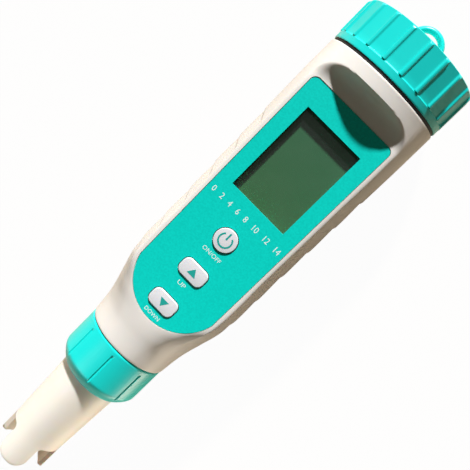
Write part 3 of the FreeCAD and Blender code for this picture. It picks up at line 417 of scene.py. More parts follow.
RESIN = Finish("potting resin", (20, 19, 20), roughness=0.3, grains=0.8, relief=0.02, mottle=0.15,
               coat=0.4)
BOARD = Finish("solder mask", (16, 92, 52), Surface.BOARD, roughness=0.3, coat=0.4)
STEEL = Finish("nickel plate", (196, 196, 194), Surface.METAL, roughness=0.28, grains=6.0,
               relief=0.004, mottle=0.06)
GOLD = Finish("gold plate", (220, 180, 96), Surface.METAL, roughness=0.22, grains=6.0,
              relief=0.003, mottle=0.05)
SILVER = Finish("silver wire", (214, 214, 210), Surface.METAL, roughness=0.2, grains=8.0,
                relief=0.002, mottle=0.05)
CERAMIC = Finish("porous ceramic", (218, 214, 202), roughness=0.8, grains=6.0, relief=0.03,
                 mottle=0.08)
BULB = Finish("blown glass", (226, 190, 140), Surface.CLEAR, roughness=0.05, alpha=0.45)
CONTACT = Finish("contact rubber", (70, 70, 74), Surface.RUBBER, roughness=0.7, mottle=0.1)

SLOT_FINISHES = {
    "shell_white": CREAM, "teal_moulding": TEAL, "label_film": FILM, "clear_lens": LENS,
    "display_glass": DISPLAY, "reflector_film": REAR_GLASS, "frame_plastic": FRAME,
    "contact_rubber": CONTACT, "board_laminate": BOARD, "chip_epoxy": BLACK, "can_steel": STEEL,
    "key_plastic": KEY, "plunger_plastic": BLACK, "spring_steel": STEEL, "seal_rubber": SEAL,
    "tube_white": TUBE, "core_resin": RESIN, "bulb_glass": BULB, "silver": SILVER,
    "ceramic": CERAMIC, "platinum": SILVER, "probe_steel": STEEL, "gold_contact": GOLD,
}
NODE_FINISHES = {"lcd_rear_glass": REAR_GLASS}


# ---- modelling by operators


class Bench:
    """The operators that every piece uses, one piece at a time."""

    @staticmethod
    def clear() -> None:
        """Nothing is selected or open."""
        if bpy.context.object and bpy.context.object.mode != "OBJECT":
            bpy.ops.object.mode_set(mode="OBJECT")
        bpy.ops.object.select_all(action="DESELECT")

    @staticmethod
    def take(piece: bpy.types.Object) -> None:
        """Selects one piece alone and makes it active.

        Args:
            piece: The piece that the next operator works on.
        """
        Bench.clear()
        piece.select_set(True)
        bpy.context.view_layer.objects.active = piece

    @staticmethod
    def named(name: str) -> bpy.types.Object:
        """Names the piece that an operator has just added.

        Args:
            name: The name of the object and of its mesh.

        Returns:
            The active object.
        """
        piece = bpy.context.object
        piece.name = name
        piece.data.name = name
        return piece

    @staticmethod
    def edit(piece: bpy.types.Object, *steps: Callable[[], object]) -> None:
        """Runs operators in edit mode on the whole of a piece.

        Args:
            piece: The piece to work on.
            steps: The operator calls, in order.
        """
        Bench.take(piece)
        bpy.ops.object.mode_set(mode="EDIT")
        bpy.ops.mesh.select_all(action="SELECT")
        for step in steps:
            step()
        bpy.ops.object.mode_set(mode="OBJECT")

    @staticmethod
    def close_up(piece: bpy.types.Object) -> None:
        """Merges doubles and turns the faces outwards."""
        Bench.edit(piece,
                   lambda: bpy.ops.mesh.remove_doubles(threshold=MERGE),
                   lambda: bpy.ops.mesh.dissolve_degenerate(threshold=MERGE),
                   lambda: bpy.ops.mesh.normals_make_consistent(inside=False))

    @staticmethod
    def apply(piece: bpy.types.Object, kind: str, **settings: object) -> None:
        """Adds one modifier and applies it.

        Args:
            piece: The piece that it changes.
            kind: The modifier's type.
            settings: The modifier's properties.
        """
        Bench.take(piece)
        modifier = piece.modifiers.new(kind.lower(), kind)
        for key, value in settings.items():
            setattr(modifier, key, value)
        bpy.ops.object.modifier_apply(modifier=modifier.name)

    @staticmethod
    def carve(piece: bpy.types.Object, cutter: bpy.types.Object,
              operation: str = "DIFFERENCE") -> None:
        """Cuts one piece with another and throws the cutter away."""
        Bench.apply(piece, "BOOLEAN", operation=operation, object=cutter, solver="EXACT")
        bpy.data.objects.remove(cutter)

    @staticmethod
    def shade(piece: bpy.types.Object, degrees: float = 32.0) -> None:
        """Smooth shading, with hard edges past an angle."""
        Bench.take(piece)
        bpy.ops.object.shade_smooth_by_angle(angle=math.radians(degrees))

    @staticmethod
    def sleeve(name: str, angles: list[float], rings: list[Row]) -> bpy.types.Object:
        """A grid wrapped round an axis and closed both ways.

        Args:
            name: The piece's name.
            angles: Where the grid's columns stand, in radians.
            rings: For each row, the place in metres at an angle.

        Returns:
            The closed piece.
        """
        across, along = len(angles), len(rings)
        Bench.clear()
        bpy.ops.mesh.primitive_grid_add(x_subdivisions=across, y_subdivisions=along, size=1.0)
        piece = Bench.named(name)
        for vertex in piece.data.vertices:
            column = round((vertex.co.x + 0.5) * across) % across
            row = round((vertex.co.y + 0.5) * along) % along
            vertex.co = rings[row](angles[column])
        Bench.close_up(piece)
        return piece

    @staticmethod
    def plate(name: str, outline: Outline, low: float, high: float) -> bpy.types.Object:
        """A flat-topped prism from an outline.

        Args:
            name: The piece's name.
            outline: Corners as x and station, in millimetres.
            low: Height of its underside.
            high: Height of its top.

        Returns:
            The prism, its place in its mesh.
        """
        Bench.clear()
        bpy.ops.mesh.primitive_circle_add(vertices=len(outline), radius=1.0, fill_type="NGON")
        piece = Bench.named(name)
        for vertex, (x, station) in zip(piece.data.vertices, outline):
            vertex.co = at(x, station, low)
        rise = (0.0, 0.0, (high - low) * MM)
        Bench.edit(piece,
                   lambda: bpy.ops.mesh.extrude_region_move(TRANSFORM_OT_translate={"value": rise}))
        Bench.edit(piece, lambda: bpy.ops.mesh.normals_make_consistent(inside=False))
        return piece

    @staticmethod
    def fuse(name: str, pieces: list[bpy.types.Object]) -> bpy.types.Object:
        """Joins pieces into one object.

        Args:
            name: The whole's name.
            pieces: What it is made of.

        Returns:
            The whole.
        """
        Bench.clear()
        for piece in pieces:
            piece.select_set(True)
        bpy.context.view_layer.objects.active = pieces[0]
        if len(pieces) > 1:
            bpy.ops.object.join()
        return Bench.named(name)


def arc_points(x: float, station: float, radius: float, start: float, end: float,
               count: int = CORNER_STEPS) -> Outline:
    """Points on an arc, with angles in degrees counted from +x towards the cap."""
    turns = [math.radians(start + (end - start) * number / count) for number in range(count + 1)]
    return [(x + radius * math.cos(turn), station - radius * math.sin(turn)) for turn in turns]


def rounded_box(x: float, station: float, width: float, length: float, corner: float) -> Outline:
    """A rectangle with rounded corners.

    Args:
        x: Its centre across the tester.
        station: Its centre along the tester.
        width: Its size across.
        length: Its size along.
        corner: The radius of its corners.

    Returns:
        Its corners' points in order.
    """
    points: Outline = []
    for turn, right, up in ((0, 1, 1), (90, -1, 1), (180, -1, -1), (270, 1, -1)):
        centre = (x + right * (width / 2 - corner), station - up * (length / 2 - corner))
        points += arc_points(*centre, corner, turn, turn + 90)
    return points


def finish_piece(piece: bpy.types.Object, finish: Finish, body: str, slot: str,
                 *nodes: str) -> None:
    """Gives a new piece its material and its place in the model.

    Args:
        piece: The piece.
        finish: Its material.
        body: The body that it rides on.
        slot: Its material slot in the record; not used.
        nodes: The CAD nodes that it stands for.
    """
    piece.data.materials.clear()
    piece.data.materials.append(finish.material())
    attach(piece, body)
    if nodes:
        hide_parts(*nodes)
    log.info("%s: %d faces, rides on %s", piece.name, len(piece.data.polygons), body)


# ---- the housing


@dataclass(frozen=True)
class Section:
    """The housing's outline across one station.

    Attributes:
        station: Where it stands.
        half: Half width at the back's centre.
        joint_x: Half width where flank and crown meet.
        joint_z: Height of that joint.
        bulge: How far the flank swells past its chord.
        crown: Height of the round before the flat is cut.
        drop: Its centre below the cap's axis.
    """

    station: float
    half: float
    joint_x: float
    joint_z: float
    bulge: float
    crown: float
    drop: float = 0.0

    def values(self) -> tuple[float, ...]:
        """All sizes but the station."""
        return self.half, self.joint_x, self.joint_z, self.bulge, self.crown, self.drop


@dataclass
class Housing:
    """The white moulding: flat face, scooped shoulder, grips and both threads.

    A fade holds where a soft step starts and ends. A run of rows holds its first station, its
    step and its count. A seat or a hole holds its centre's station, width, length and corner.
    """

    face: float = 12.9
    wall: float = 2.2
    roof: float = 10.4
    roof_edge: float = 0.3
    length: float = 101.1
    scoop_top: float = 3.9
    scoop_end: float = 10.3
    scoop_steep: float = 0.97
    scoop_rise: float = 7.0
    neck_radius: float = 16.2
    neck_length: float = 9.5
    neck_chamfer: float = 0.4
    neck_pitch: float = 2.0
    bore: float = 13.8
    bay: float = 12.8
    bay_end: float = 5.9
    ledge: float = 6.0
    spigot_radius: float = 11.4
    spigot_length: float = 7.0
    spigot_chamfer: float = 0.3
    spigot_pitch: float = 1.5
    socket: float = 9.6
    socket_end: float = 94.6
    nose_drop: float = 1.2
    thread_step: float = 0.3
    thread_depth: float = 0.35
    thread_flank: tuple[float, float] = (-0.35, 0.45)
    thread_fade: tuple[float, float] = (0.6, 1.6)
    edge: float = 0.75
    edge_from: float = 0.15
    cove_edge: float = 0.5
    cove_fade: tuple[float, float] = (9.0, 13.0)
    nose_edge: float = 1.1
    nose_fade: tuple[float, float] = (84.0, 91.0)
    back_from: float = -0.8
    back_edge: float = 0.06
    back_depth: float = 18.624
    back_fall: float = 0.02468
    grip_lines: tuple[float, ...] = (28.9, 38.6, 48.3, 58.0, 67.6, 77.0)
    grip_depth: float = 0.38
    grip_sweep: float = 4.4
    grip_middle: float = -3.0
    grip_reach: float = 44.0
    grip_low: tuple[float, float] = (-50.0, -38.0)
    grip_high: tuple[float, float] = (32.0, 40.0)
    grip_step: tuple[float, float] = (0.0, 0.7)
    grip_fall: float = 1.6
    back_turn: tuple[float, float] = (3.0, -52.0)
    edge_turn: tuple[float, float, float] = (0.75, 34.0, 56.0)
    flank_turn: float = 1.8
    rim_round: tuple[float, float] = (0.09, 0.3)
    end_round: tuple[float, float] = (0.1, 0.35)
    row_runs: tuple[tuple[float, float, int], ...] = ((0.3, 0.25, 46), (11.9, 0.34, 262))
    hollow_rows: tuple[float, ...] = (94.5, 90, 85.5, 81, 77, 66, 56.5, 45, 34, 22, 12, 6)
    film_gap: float = 0.15
    film_heights: tuple[float, float] = (12.25, 14.0)
    lens_seat: tuple[float, float, float, float] = (31.4, 21.7, 30.6, 0.2)
    lens_heights: tuple[float, float] = (11.0, 12.6)
    window: tuple[float, float, float, float] = (31.4, 19.8, 28.7, 0.15)
    key_gap: float = 0.25
    hole_heights: tuple[float, float] = (8.0, 13.0)
    sections: list[Section] = field(default_factory=lambda: [
        Section(0, 18.8, 13.97, 12.58, 1.249, 18.8),
        Section(12, 18.7, 15.1, 12.9, 1.1, 18.7),
        Section(34, 18.3, 15.1, 12.9, 1.1, 17.8),
        Section(56.5, 17.8, 14.95, 12.9, 1.1, 16.5),
        Section(77, 17.35, 14.8, 12.9, 1.1, 15.1),
        Section(85.5, 15.85, 12.4, 10.9, 1.1, 14.7, 0.6),
        Section(90, 14.85, 10.5, 10.0, 1.28, 13.95, 0.9),
        Section(94.5, 14.1, 9.063, 9.601, 1.321, 12.9, 1.2),
        Section(101.1, 13.45, 8.645, 9.103, 1.26, 12.25, 1.2)])

    def section_at(self, station: float) -> Section:
        """The section between two named ones, on a smooth curve through them all.

        Args:
            station: Where the section is wanted.

        Returns:
            The section there.
        """
        rows = self.sections
        station = min(rows[-1].station, max(rows[0].station, station))
        last = len(rows) - 2
        low = next((n for n in range(last) if station <= rows[n + 1].station), last)
        start, end = rows[low], rows[low + 1]
        span = end.station - start.station
        share = (station - start.station) / span
        values = []
        for number, (a, b) in enumerate(zip(start.values(), end.values())):
            slopes = []
            for place in (low, low + 1):
                before, after = rows[max(0, place - 1)], rows[min(len(rows) - 1, place + 1)]
                slopes.append((after.values()[number] - before.values()[number])
                              / (after.station - before.station))
            cube, square = share ** 3, share ** 2
            values.append(
                (2 * cube - 3 * square + 1) * a + (cube - 2 * square + share) * span * slopes[0]
                + (3 * square - 2 * cube) * b + (cube - square) * span * slopes[1])
        return Section(station, *values)

    def round_radius(self, turn: float, cut: Section) -> float:
        """Distance from the section's centre to the moulding before the flat is cut.

        Args:
            turn: The angle of the ray, from +x upwards.
            cut: The section at its station.

        Returns:
            The ray's length.
        """
        if math.sin(turn) <= 0:
            return cut.half
        across, up = abs(math.cos(turn)), math.sin(turn)
        joint_z = cut.joint_z + cut.drop
        if math.atan2(up, across) > math.atan2(joint_z, cut.joint_x):
            sag = cut.crown - cut.joint_z
            radius = (cut.joint_x ** 2 + sag ** 2) / (2 * sag)
            centre = (0.0, cut.crown + cut.drop - radius)
        else:
            chord = Vector((cut.joint_x - cut.half, joint_z))
            out = Vector((chord.y, -chord.x)).normalized()
            radius = (chord.length_squared / 4 + cut.bulge ** 2) / (2 * cut.bulge)
            middle = Vector((cut.half + cut.joint_x, joint_z)) / 2
            place = middle - out * (radius - cut.bulge)
            centre = (place.x, place.y)
        reach = across * centre[0] + up * centre[1]
        offset = radius ** 2 - centre[0] ** 2 - centre[1] ** 2 + reach ** 2
        return reach + math.sqrt(max(0.0, offset))

    def face_height(self, station: float) -> float:
        """Height of the cut over the moulding: the flat, and the cove that ends it.

        Args:
            station: Where the cut is wanted.

        Returns:
            The height above the axis.
        """
        if station >= self.scoop_end:
            return self.face
        span = self.scoop_end - self.scoop_top
        share = (self.scoop_end - station) / span
        curved = min(share, self.scoop_steep)
        height = self.face + span * (1 - math.sqrt(1 - curved ** 2))
        return height + (share - curved) * span * self.scoop_rise

    def grip(self, degrees: float, station: float) -> float:
        """Depth of the finger grips: each line drops towards the electrode and fades out.

        Args:
            degrees: How steep the place on the flank stands.
            station: Where it is along the tester.

        Returns:
            How far the skin draws in.
        """
        share = (degrees - self.grip_middle) / self.grip_reach
        moved = station + self.grip_sweep * (1 - share ** 2)
        passed = [line for line in self.grip_lines if moved >= line]
        pitch = self.grip_lines[1] - self.grip_lines[0]
        if not passed or moved - passed[-1] > pitch:
            return 0.0
        gone = moved - passed[-1]
        ends = smooth(*self.grip_low, degrees) * (1 - smooth(*self.grip_high, degrees))
        slope = smooth(*self.grip_step, gone) * (1 - gone / pitch) ** self.grip_fall
        return self.grip_depth * slope * ends

    def outer(self, turn: float, station: float, inset: float = 0.0) -> Vector:
        """The visible skin.

        Args:
            turn: The angle round the section, from +x upwards.
            station: Where the row stands.
            inset: How far it lies under the skin.

        Returns:
            The place in metres.
        """
        cut = self.section_at(station)
        radius = self.round_radius(turn, cut)
        up = math.sin(turn)
        if up > self.edge_from:
            level = (self.face_height(station) + cut.drop) / up
            room = (self.edge + self.cove_edge * (1 - smooth(*self.cove_fade, station))
                    + self.nose_edge * smooth(*self.nose_fade, station))
            radius = soft_min(radius, level, room)
        radius -= self.grip(lean(turn), station)
        if up < self.back_from:
            level = (self.back_depth - self.back_fall * station - cut.drop) / -up
            radius = soft_min(radius, level, self.back_edge)
        return self.ring(radius - inset, station, cut.drop)(turn)

    def inner(self, turn: float, station: float) -> Vector:
        """The hollow behind the skin.

        Args:
            turn: The angle round the section, from +x upwards.
            station: Where the row stands.

        Returns:
            The place in metres.
        """
        cut = self.section_at(station)
        radius = self.round_radius(turn, cut) - self.wall
        up = math.sin(turn)
        if up > self.edge_from:
            radius = soft_min(radius, (self.roof + cut.drop) / up, self.roof_edge)
        return self.ring(radius, station, cut.drop)(turn)

    def ring(self, radius: float, station: float, drop: float = 0.0) -> Row:
        """A plain round row."""
        return lambda turn: at(radius * math.cos(turn), station, radius * math.sin(turn) - drop)

    def thread(self, radius: float, start: float, end: float, pitch: float,
               drop: float) -> list[Row]:
        """Rows with a rounded screw thread that fades in and out.

        Args:
            radius: The thread's crest.
            start: Station where it starts.
            end: Station where it ends.
            pitch: Its rise in one turn.
            drop: Its axis below the cap's axis.

        Returns:
            The rows between both stations.
        """
        count = math.ceil(abs(end - start) / self.thread_step)
        rows = []
        for number in range(1, count):
            station = start + (end - start) * number / count
            edge = min(abs(station - start), abs(station - end))

            def row(turn: float, station: float = station, edge: float = edge) -> Vector:
                """One row of the thread.

                Args:
                    turn: The angle round the axis.
                    station: Where the row stands.
                    edge: How far it is from the nearer end.

                Returns:
                    The place in metres.
                """
                wave = math.cos(math.tau * station / pitch + turn)
                depth = self.thread_depth * (1 - smooth(*self.thread_flank, wave))
                depth *= smooth(*self.thread_fade, edge)
                return self.ring(radius - depth, station, drop)(turn)
            rows.append(row)
        return rows

    def angles(self) -> list[float]:
        """Columns, closer together where the flat meets the flanks.

        Returns:
            Their angles in radians.
        """
        turn, found = -math.pi / 2, []
        back_step, back_end = self.back_turn
        edge_step, edge_start, edge_end = self.edge_turn
        while turn < 1.5 * math.pi - 1e-6:
            found.append(turn)
            step = edge_step if edge_start < lean(turn) < edge_end else self.flank_turn
            turn += math.radians(back_step if lean(turn) < back_end else step)
        return found

    def rows(self) -> list[Row]:
        """All rows, once round the wall: skin, spigot, hollow, bay and neck.

        Returns:
            For each row, the place at an angle.
        """
        def skin(station: float, inset: float = 0.0) -> Row:
            """A row of the visible skin."""
            return lambda turn: self.outer(turn, station, inset)

        def hollow(station: float) -> Row:
            """A row of the hollow."""
            return lambda turn: self.inner(turn, station)

        nose, neck, drop = self.length + self.spigot_length, -self.neck_length, self.nose_drop
        spigot, chamfer = self.spigot_radius, self.spigot_chamfer
        found = [skin(0.0, self.rim_round[1]), skin(self.rim_round[0], self.rim_round[0])]
        found += [skin(start + step * number)
                  for start, step, count in self.row_runs for number in range(count)]
        found += [skin(self.length - self.end_round[0], self.end_round[0]),
                  skin(self.length, self.end_round[1]), self.ring(spigot, self.length, drop)]
        found += self.thread(spigot, self.length, nose - chamfer, self.spigot_pitch, drop)
        found += [self.ring(radius, station, drop) for radius, station in (
            (spigot, nose - chamfer), (spigot - chamfer, nose), (self.socket, nose),
            (self.socket, self.socket_end))]
        found += [hollow(station) for station in self.hollow_rows]
        lead = neck + self.neck_chamfer
        found += [self.ring(radius, station) for radius, station in (
            (self.bay, self.bay_end), (self.bay, -self.ledge), (self.bore, -self.ledge),
            (self.bore, neck), (self.neck_radius - self.neck_chamfer, neck),
            (self.neck_radius, lead))]
        found += self.thread(self.neck_radius, lead, 0.0, self.neck_pitch, 0.0)
        return found + [self.ring(self.neck_radius, 0.0)]

    def build(self) -> None:
        """Makes the shell and cuts the label's seat, the window and the key holes."""
        shell = Bench.sleeve("housing_shell", self.angles(), self.rows())
        film = Overlay().outline(self.film_gap)
        Bench.carve(shell, Bench.plate("label_seat", film, *self.film_heights))
        lens = rounded_box(0, *self.lens_seat)
        Bench.carve(shell, Bench.plate("lens_seat", lens, *self.lens_heights))
        holes = [Bench.plate("window_hole", rounded_box(0, *self.window), *self.hole_heights)]
        for key in Keys().keys:
            outline = key.outline(self.key_gap)
            holes.append(Bench.plate(f"{key.name}_hole", outline, *self.hole_heights))
        Bench.carve(shell, Bench.fuse("face_holes", holes))
        Bench.shade(shell)
        finish_piece(shell, CREAM, "meter", "shell_white", "housing")


# ---- the overlay, its print and the keys


class Mark(Enum):
    """What is printed on a key."""

    POWER = "ring with a bar"
    UP = "arrow towards the cap"
    DOWN = "arrow towards the electrode"


@dataclass(frozen=True)
class Key:
    """One key: its place, size and mark."""

    name: str
    station: float
    width: float
    length: float
    corner: float
    mark: Mark
    foot: float = 9.45
    roof: float = 10.35
    top: float = 13.2
    flange: float = 1.1
    edge: float = 0.32

    def outline(self, grow: float = 0.0) -> Outline:
        """The key's outline, wider all round by grow."""
        return rounded_box(0, self.station, self.width + 2 * grow, self.length + 2 * grow,
                           self.corner + grow)

    def build(self) -> None:
        """Makes the key with its rounded top and the flange that keeps it in."""
        cap = Bench.plate(f"{self.name}_cap", self.outline(), self.foot, self.top)
        Bench.apply(cap, "BEVEL", width=self.edge * MM, segments=5, limit_method="ANGLE",
                    angle_limit=math.radians(60))
        flange = Bench.plate(f"{self.name}_flange", self.outline(self.flange), self.foot, self.roof)
        Bench.carve(cap, flange, "UNION")
        Bench.shade(cap, degrees=40)
        finish_piece(cap, KEY, f"{self.name}_button", "key_plastic", f"{self.name}_key")


@dataclass
class Keys:
    """The three keys and their printed marks."""

    keys: tuple[Key, ...] = (
        Key("power", 57.4, 6.8, 6.8, 3.39, Mark.POWER),
        Key("up", 69.8, 8.6, 5.2, 1.9, Mark.UP),
        Key("down", 81.6, 8.6, 5.2, 1.9, Mark.DOWN))
    ink: float = 0.03
    arrow_half: float = 1.45
    arrow_foot: float = 0.95
    arrow_tip: float = 1.25
    ring_radii: tuple[float, float] = (2.2, 1.72)
    ring_gap: float = 38.0
    ring_steps: int = 44
    bar_rise: float = 1.35
    bar: tuple[float, float, float] = (0.5, 2.3, 0.24)

    def arrow(self, key: Key, up: float) -> Outline:
        """A triangle that points along the tester."""
        foot, tip = key.station + up * self.arrow_foot, key.station - up * self.arrow_tip
        return [(-self.arrow_half, foot), (self.arrow_half, foot), (0.0, tip)]

    def marks(self, key: Key) -> list[Outline]:
        """The outlines printed on one key.

        Args:
            key: The key.

        Returns:
            One outline for each patch of ink.
        """
        if key.mark is not Mark.POWER:
            return [self.arrow(key, 1.0 if key.mark is Mark.UP else -1.0)]
        start, end = 90 + self.ring_gap, 450 - self.ring_gap
        outside, inside = self.ring_radii
        ring = arc_points(0, key.station, outside, start, end, self.ring_steps)
        ring += arc_points(0, key.station, inside, end, start, self.ring_steps)
        return [ring, rounded_box(0, key.station - self.bar_rise, *self.bar)]

    def build(self) -> None:
        """Makes the keys and prints their marks."""
        for key in self.keys:
            key.build()
            inks = [Bench.plate(f"{key.name}_ink_{number}", outline, key.top, key.top + self.ink)
                    for number, outline in enumerate(self.marks(key))]
            mark = Bench.fuse(f"{key.name}_mark", inks)
            finish_piece(mark, INK_TEAL, f"{key.name}_button", "key_plastic")


@dataclass
class Overlay:
    """The teal film's outline and its white print."""

    top: float = 10.4
    half: float = 14.05
    half_low: float = 13.75
    arc_station: float = 73.7
    arc_radius: float = 14.0
    corner: float = 1.8
    arc_steps: int = 64
    surface: float = 12.75
    ink: float = 0.02
    lines: tuple[tuple[str, str, float, float, float], ...] = (
        ("scale_print", "0   2   4   6   8   10   12   14", 49.6, 1.75, 25.0),
        ("power_print", "ON/OFF", 62.7, 1.2, 6.4),
        ("up_print", "UP", 74.4, 1.2, 2.6),
        ("down_print", "DOWN", 86.1, 1.15, 5.2))

    def outline(self, grow: float = 0.0) -> Outline:
        """The film's outline, wider all round by grow.

        Args:
            grow: The margin round it.

        Returns:
            Its points in order.
        """
        wide, narrow = self.half + grow, self.half_low + grow
        corner, radius = self.corner + grow, self.arc_radius + grow
        top = self.top - grow
        tilt = math.degrees(math.asin(narrow / radius))
        points = arc_points(wide - corner, top + corner, corner, 0, 90)
        points += arc_points(corner - wide, top + corner, corner, 90, 180)
        return points + arc_points(0, self.arc_station, radius, 270 - tilt, 270 + tilt,
                                   self.arc_steps)

    def build(self) -> None:
        """Prints the lines of plain lettering."""
        for name, words, station, cap_height, width in self.lines:
            Bench.clear()
            bpy.ops.object.text_add()
            text = bpy.context.object
            text.data.body = words
            text.data.align_x = "CENTER"
            text.data.align_y = "CENTER"
            text.data.size = 1.0
            text.data.extrude = 0.01
            text.data.resolution_u = 3
            bpy.ops.object.convert(target="MESH")
            piece = Bench.named(name)
            places = [vertex.co.copy() for vertex in piece.data.vertices]
            low, high = ([pick(p[n] for p in places) for n in range(3)] for pick in (min, max))
            for vertex, place in zip(piece.data.vertices, places):
                x, y, z = ((place[n] - low[n]) / (high[n] - low[n]) for n in range(3))
                vertex.co = at((x - 0.5) * width, station + (0.5 - y) * cap_height,
                               self.surface + z * self.ink)
            Bench.close_up(piece)
            finish_piece(piece, INK_WHITE, "meter", "label_film")


# ---- the battery cap


@dataclass
class BatteryCap:
    """The ribbed teal cap and its lanyard loop.

    A rim row holds how far it lies under the flange's radius and its height. A lip row also
    holds how deep the pockets between the ribs are there.
    """

    start: float = -0.9
    height: float = 13.3
    flange: float = 2.2
    flange_radius: float = 18.75
    rim: tuple[tuple[float, float], ...] = ((0.12, 0.0), (0.035, 0.035), (0.0, 0.12), (0.0, 0.45),
                                            (0.0, 1.8), (0.0, 2.0))
    crest: float = 19.0
    root: float = 18.35
    lip: tuple[tuple[float, float, float], ...] = ((18.55, 2.2, 0.85), (19.0, 2.35, 0.93),
                                                   (19.0, 2.6, 1.0))
    wall_rows: int = 6
    end_round: float = 1.2
    end_rows: int = 8
    end_shares: tuple[float, ...] = (0.8, 0.5, 0.2, 0.0)
    ribs: int = 20
    rib_turn: float = 85.0
    rib_half: float = 0.3
    rib_flank: float = 0.5
    rib_steps: tuple[float, ...] = (0.0, 0.4, 0.8, 1.2, 1.6, 2.6)
    pocket_steps: tuple[float, ...] = (5.6, 7.3)
    bore: float = 16.5
    ceiling: float = 10.9
    post_radius: float = 4.5
    post: float = 7.5
    loop_centre: float = 14.7
    loop_radius: float = 4.5
    loop_band: float = 0.9
    loop_half: float = 1.6
    loop_power: float = 0.75
    loop_sink: float = 0.3

    def angles(self) -> list[float]:
        """Columns, closer together at the ribs.

        Returns:
            Their angles in radians.
        """
        pitch = 360.0 / self.ribs
        half = math.degrees(self.rib_half / self.crest)
        side = [half + step for step in self.rib_steps] + [*self.pocket_steps, pitch / 2]
        offsets = [0.0] + side + [pitch - step for step in reversed(side[:-1])]
        return [math.radians(self.rib_turn + pitch * number + offset)
                for number in range(self.ribs) for offset in offsets]

    def grip_radius(self, turn: float, share: float) -> float:
        """Radius of the gripped wall: rib crest, or the flat pocket between two ribs.

        Args:
            turn: The angle round the cap.
            share: How deep the pockets are there.

        Returns:
            The radius.
        """
        pitch = 360.0 / self.ribs
        off = (math.degrees(turn) - self.rib_turn + pitch / 2) % pitch - pitch / 2
        distance = abs(math.radians(off)) * self.crest
        pocket = self.root / math.cos(math.radians(pitch / 2 - abs(off)))
        depth = smooth(self.rib_half, self.rib_half + self.rib_flank, distance) * share
        return self.crest + (pocket - self.crest) * depth

    def row(self, radius: float, height: float, share: Optional[float] = None) -> Row:
        """One row of the cap.

        Args:
            radius: Its greatest radius.
            height: Its height above the flange's face.
            share: How deep the pockets are there, or None for a plain row.

        Returns:
            The place at an angle.
        """
        def place(turn: float) -> Vector:
            """The place at an angle."""
            reach = radius if share is None else min(radius, self.grip_radius(turn, share))
            return at(reach * math.cos(turn), self.start - height, reach * math.sin(turn))
        return place

    def rows(self) -> list[Row]:
        """Once round the wall: bore, flange, grip, rim, end and hollow.

        Returns:
            For each row, the place at an angle.
        """
        top, low = self.height, self.lip[-1][1]
        places = [(self.bore, 0.0)]
        places += [(self.flange_radius - inset, height) for inset, height in self.rim]
        places += self.lip
        span = top - self.end_round - low
        places += [(self.crest, low + span * number / self.wall_rows, 1.0)
                   for number in range(1, self.wall_rows + 1)]
        for number in range(1, self.end_rows + 1):
            turn = math.radians(90 * number / self.end_rows)
            places.append((self.crest - self.end_round * (1 - math.cos(turn)),
                           top - self.end_round * (1 - math.sin(turn)), 1.0))
        places += [(self.crest * share, top) for share in self.end_shares]
        places += [(0.0, self.post), (self.post_radius, self.post),
                   (self.post_radius, self.ceiling), (self.bore, self.ceiling)]
        return [self.row(*place) for place in places]

    def loop(self) -> bpy.types.Object:
        """Makes a half ring of flattened round section that stands on the end wall.

        Returns:
            The half ring.
        """
        Bench.clear()
        bpy.ops.mesh.primitive_torus_add(
            major_segments=72, minor_segments=24, major_radius=self.loop_radius * MM,
            minor_radius=self.loop_band * MM)
        ring = Bench.named("lanyard_ring")
        for vertex in ring.data.vertices:
            share = vertex.co.z / (self.loop_band * MM)
            squared = math.copysign(abs(share) ** self.loop_power, share)
            vertex.co.z = squared * self.loop_half * MM
            vertex.co += at(0, self.start - self.loop_centre, 0)
        foot = at(0, self.start - self.height + self.loop_sink, 0)
        Bench.edit(ring, lambda: bpy.ops.mesh.bisect(
            plane_co=foot, plane_no=(0, 1, 0), use_fill=True, clear_inner=True))
        Bench.close_up(ring)
        return ring

    def build(self) -> None:
        """Makes the cap with its loop."""
        cap = Bench.sleeve("cap_moulding", self.angles(), self.rows())
        whole = Bench.fuse("cap_moulding", [cap, self.loop()])
        Bench.shade(whole, degrees=40)
        finish_piece(whole, TEAL, "cap", "teal_moulding", "battery_cap")


# ---- the collar


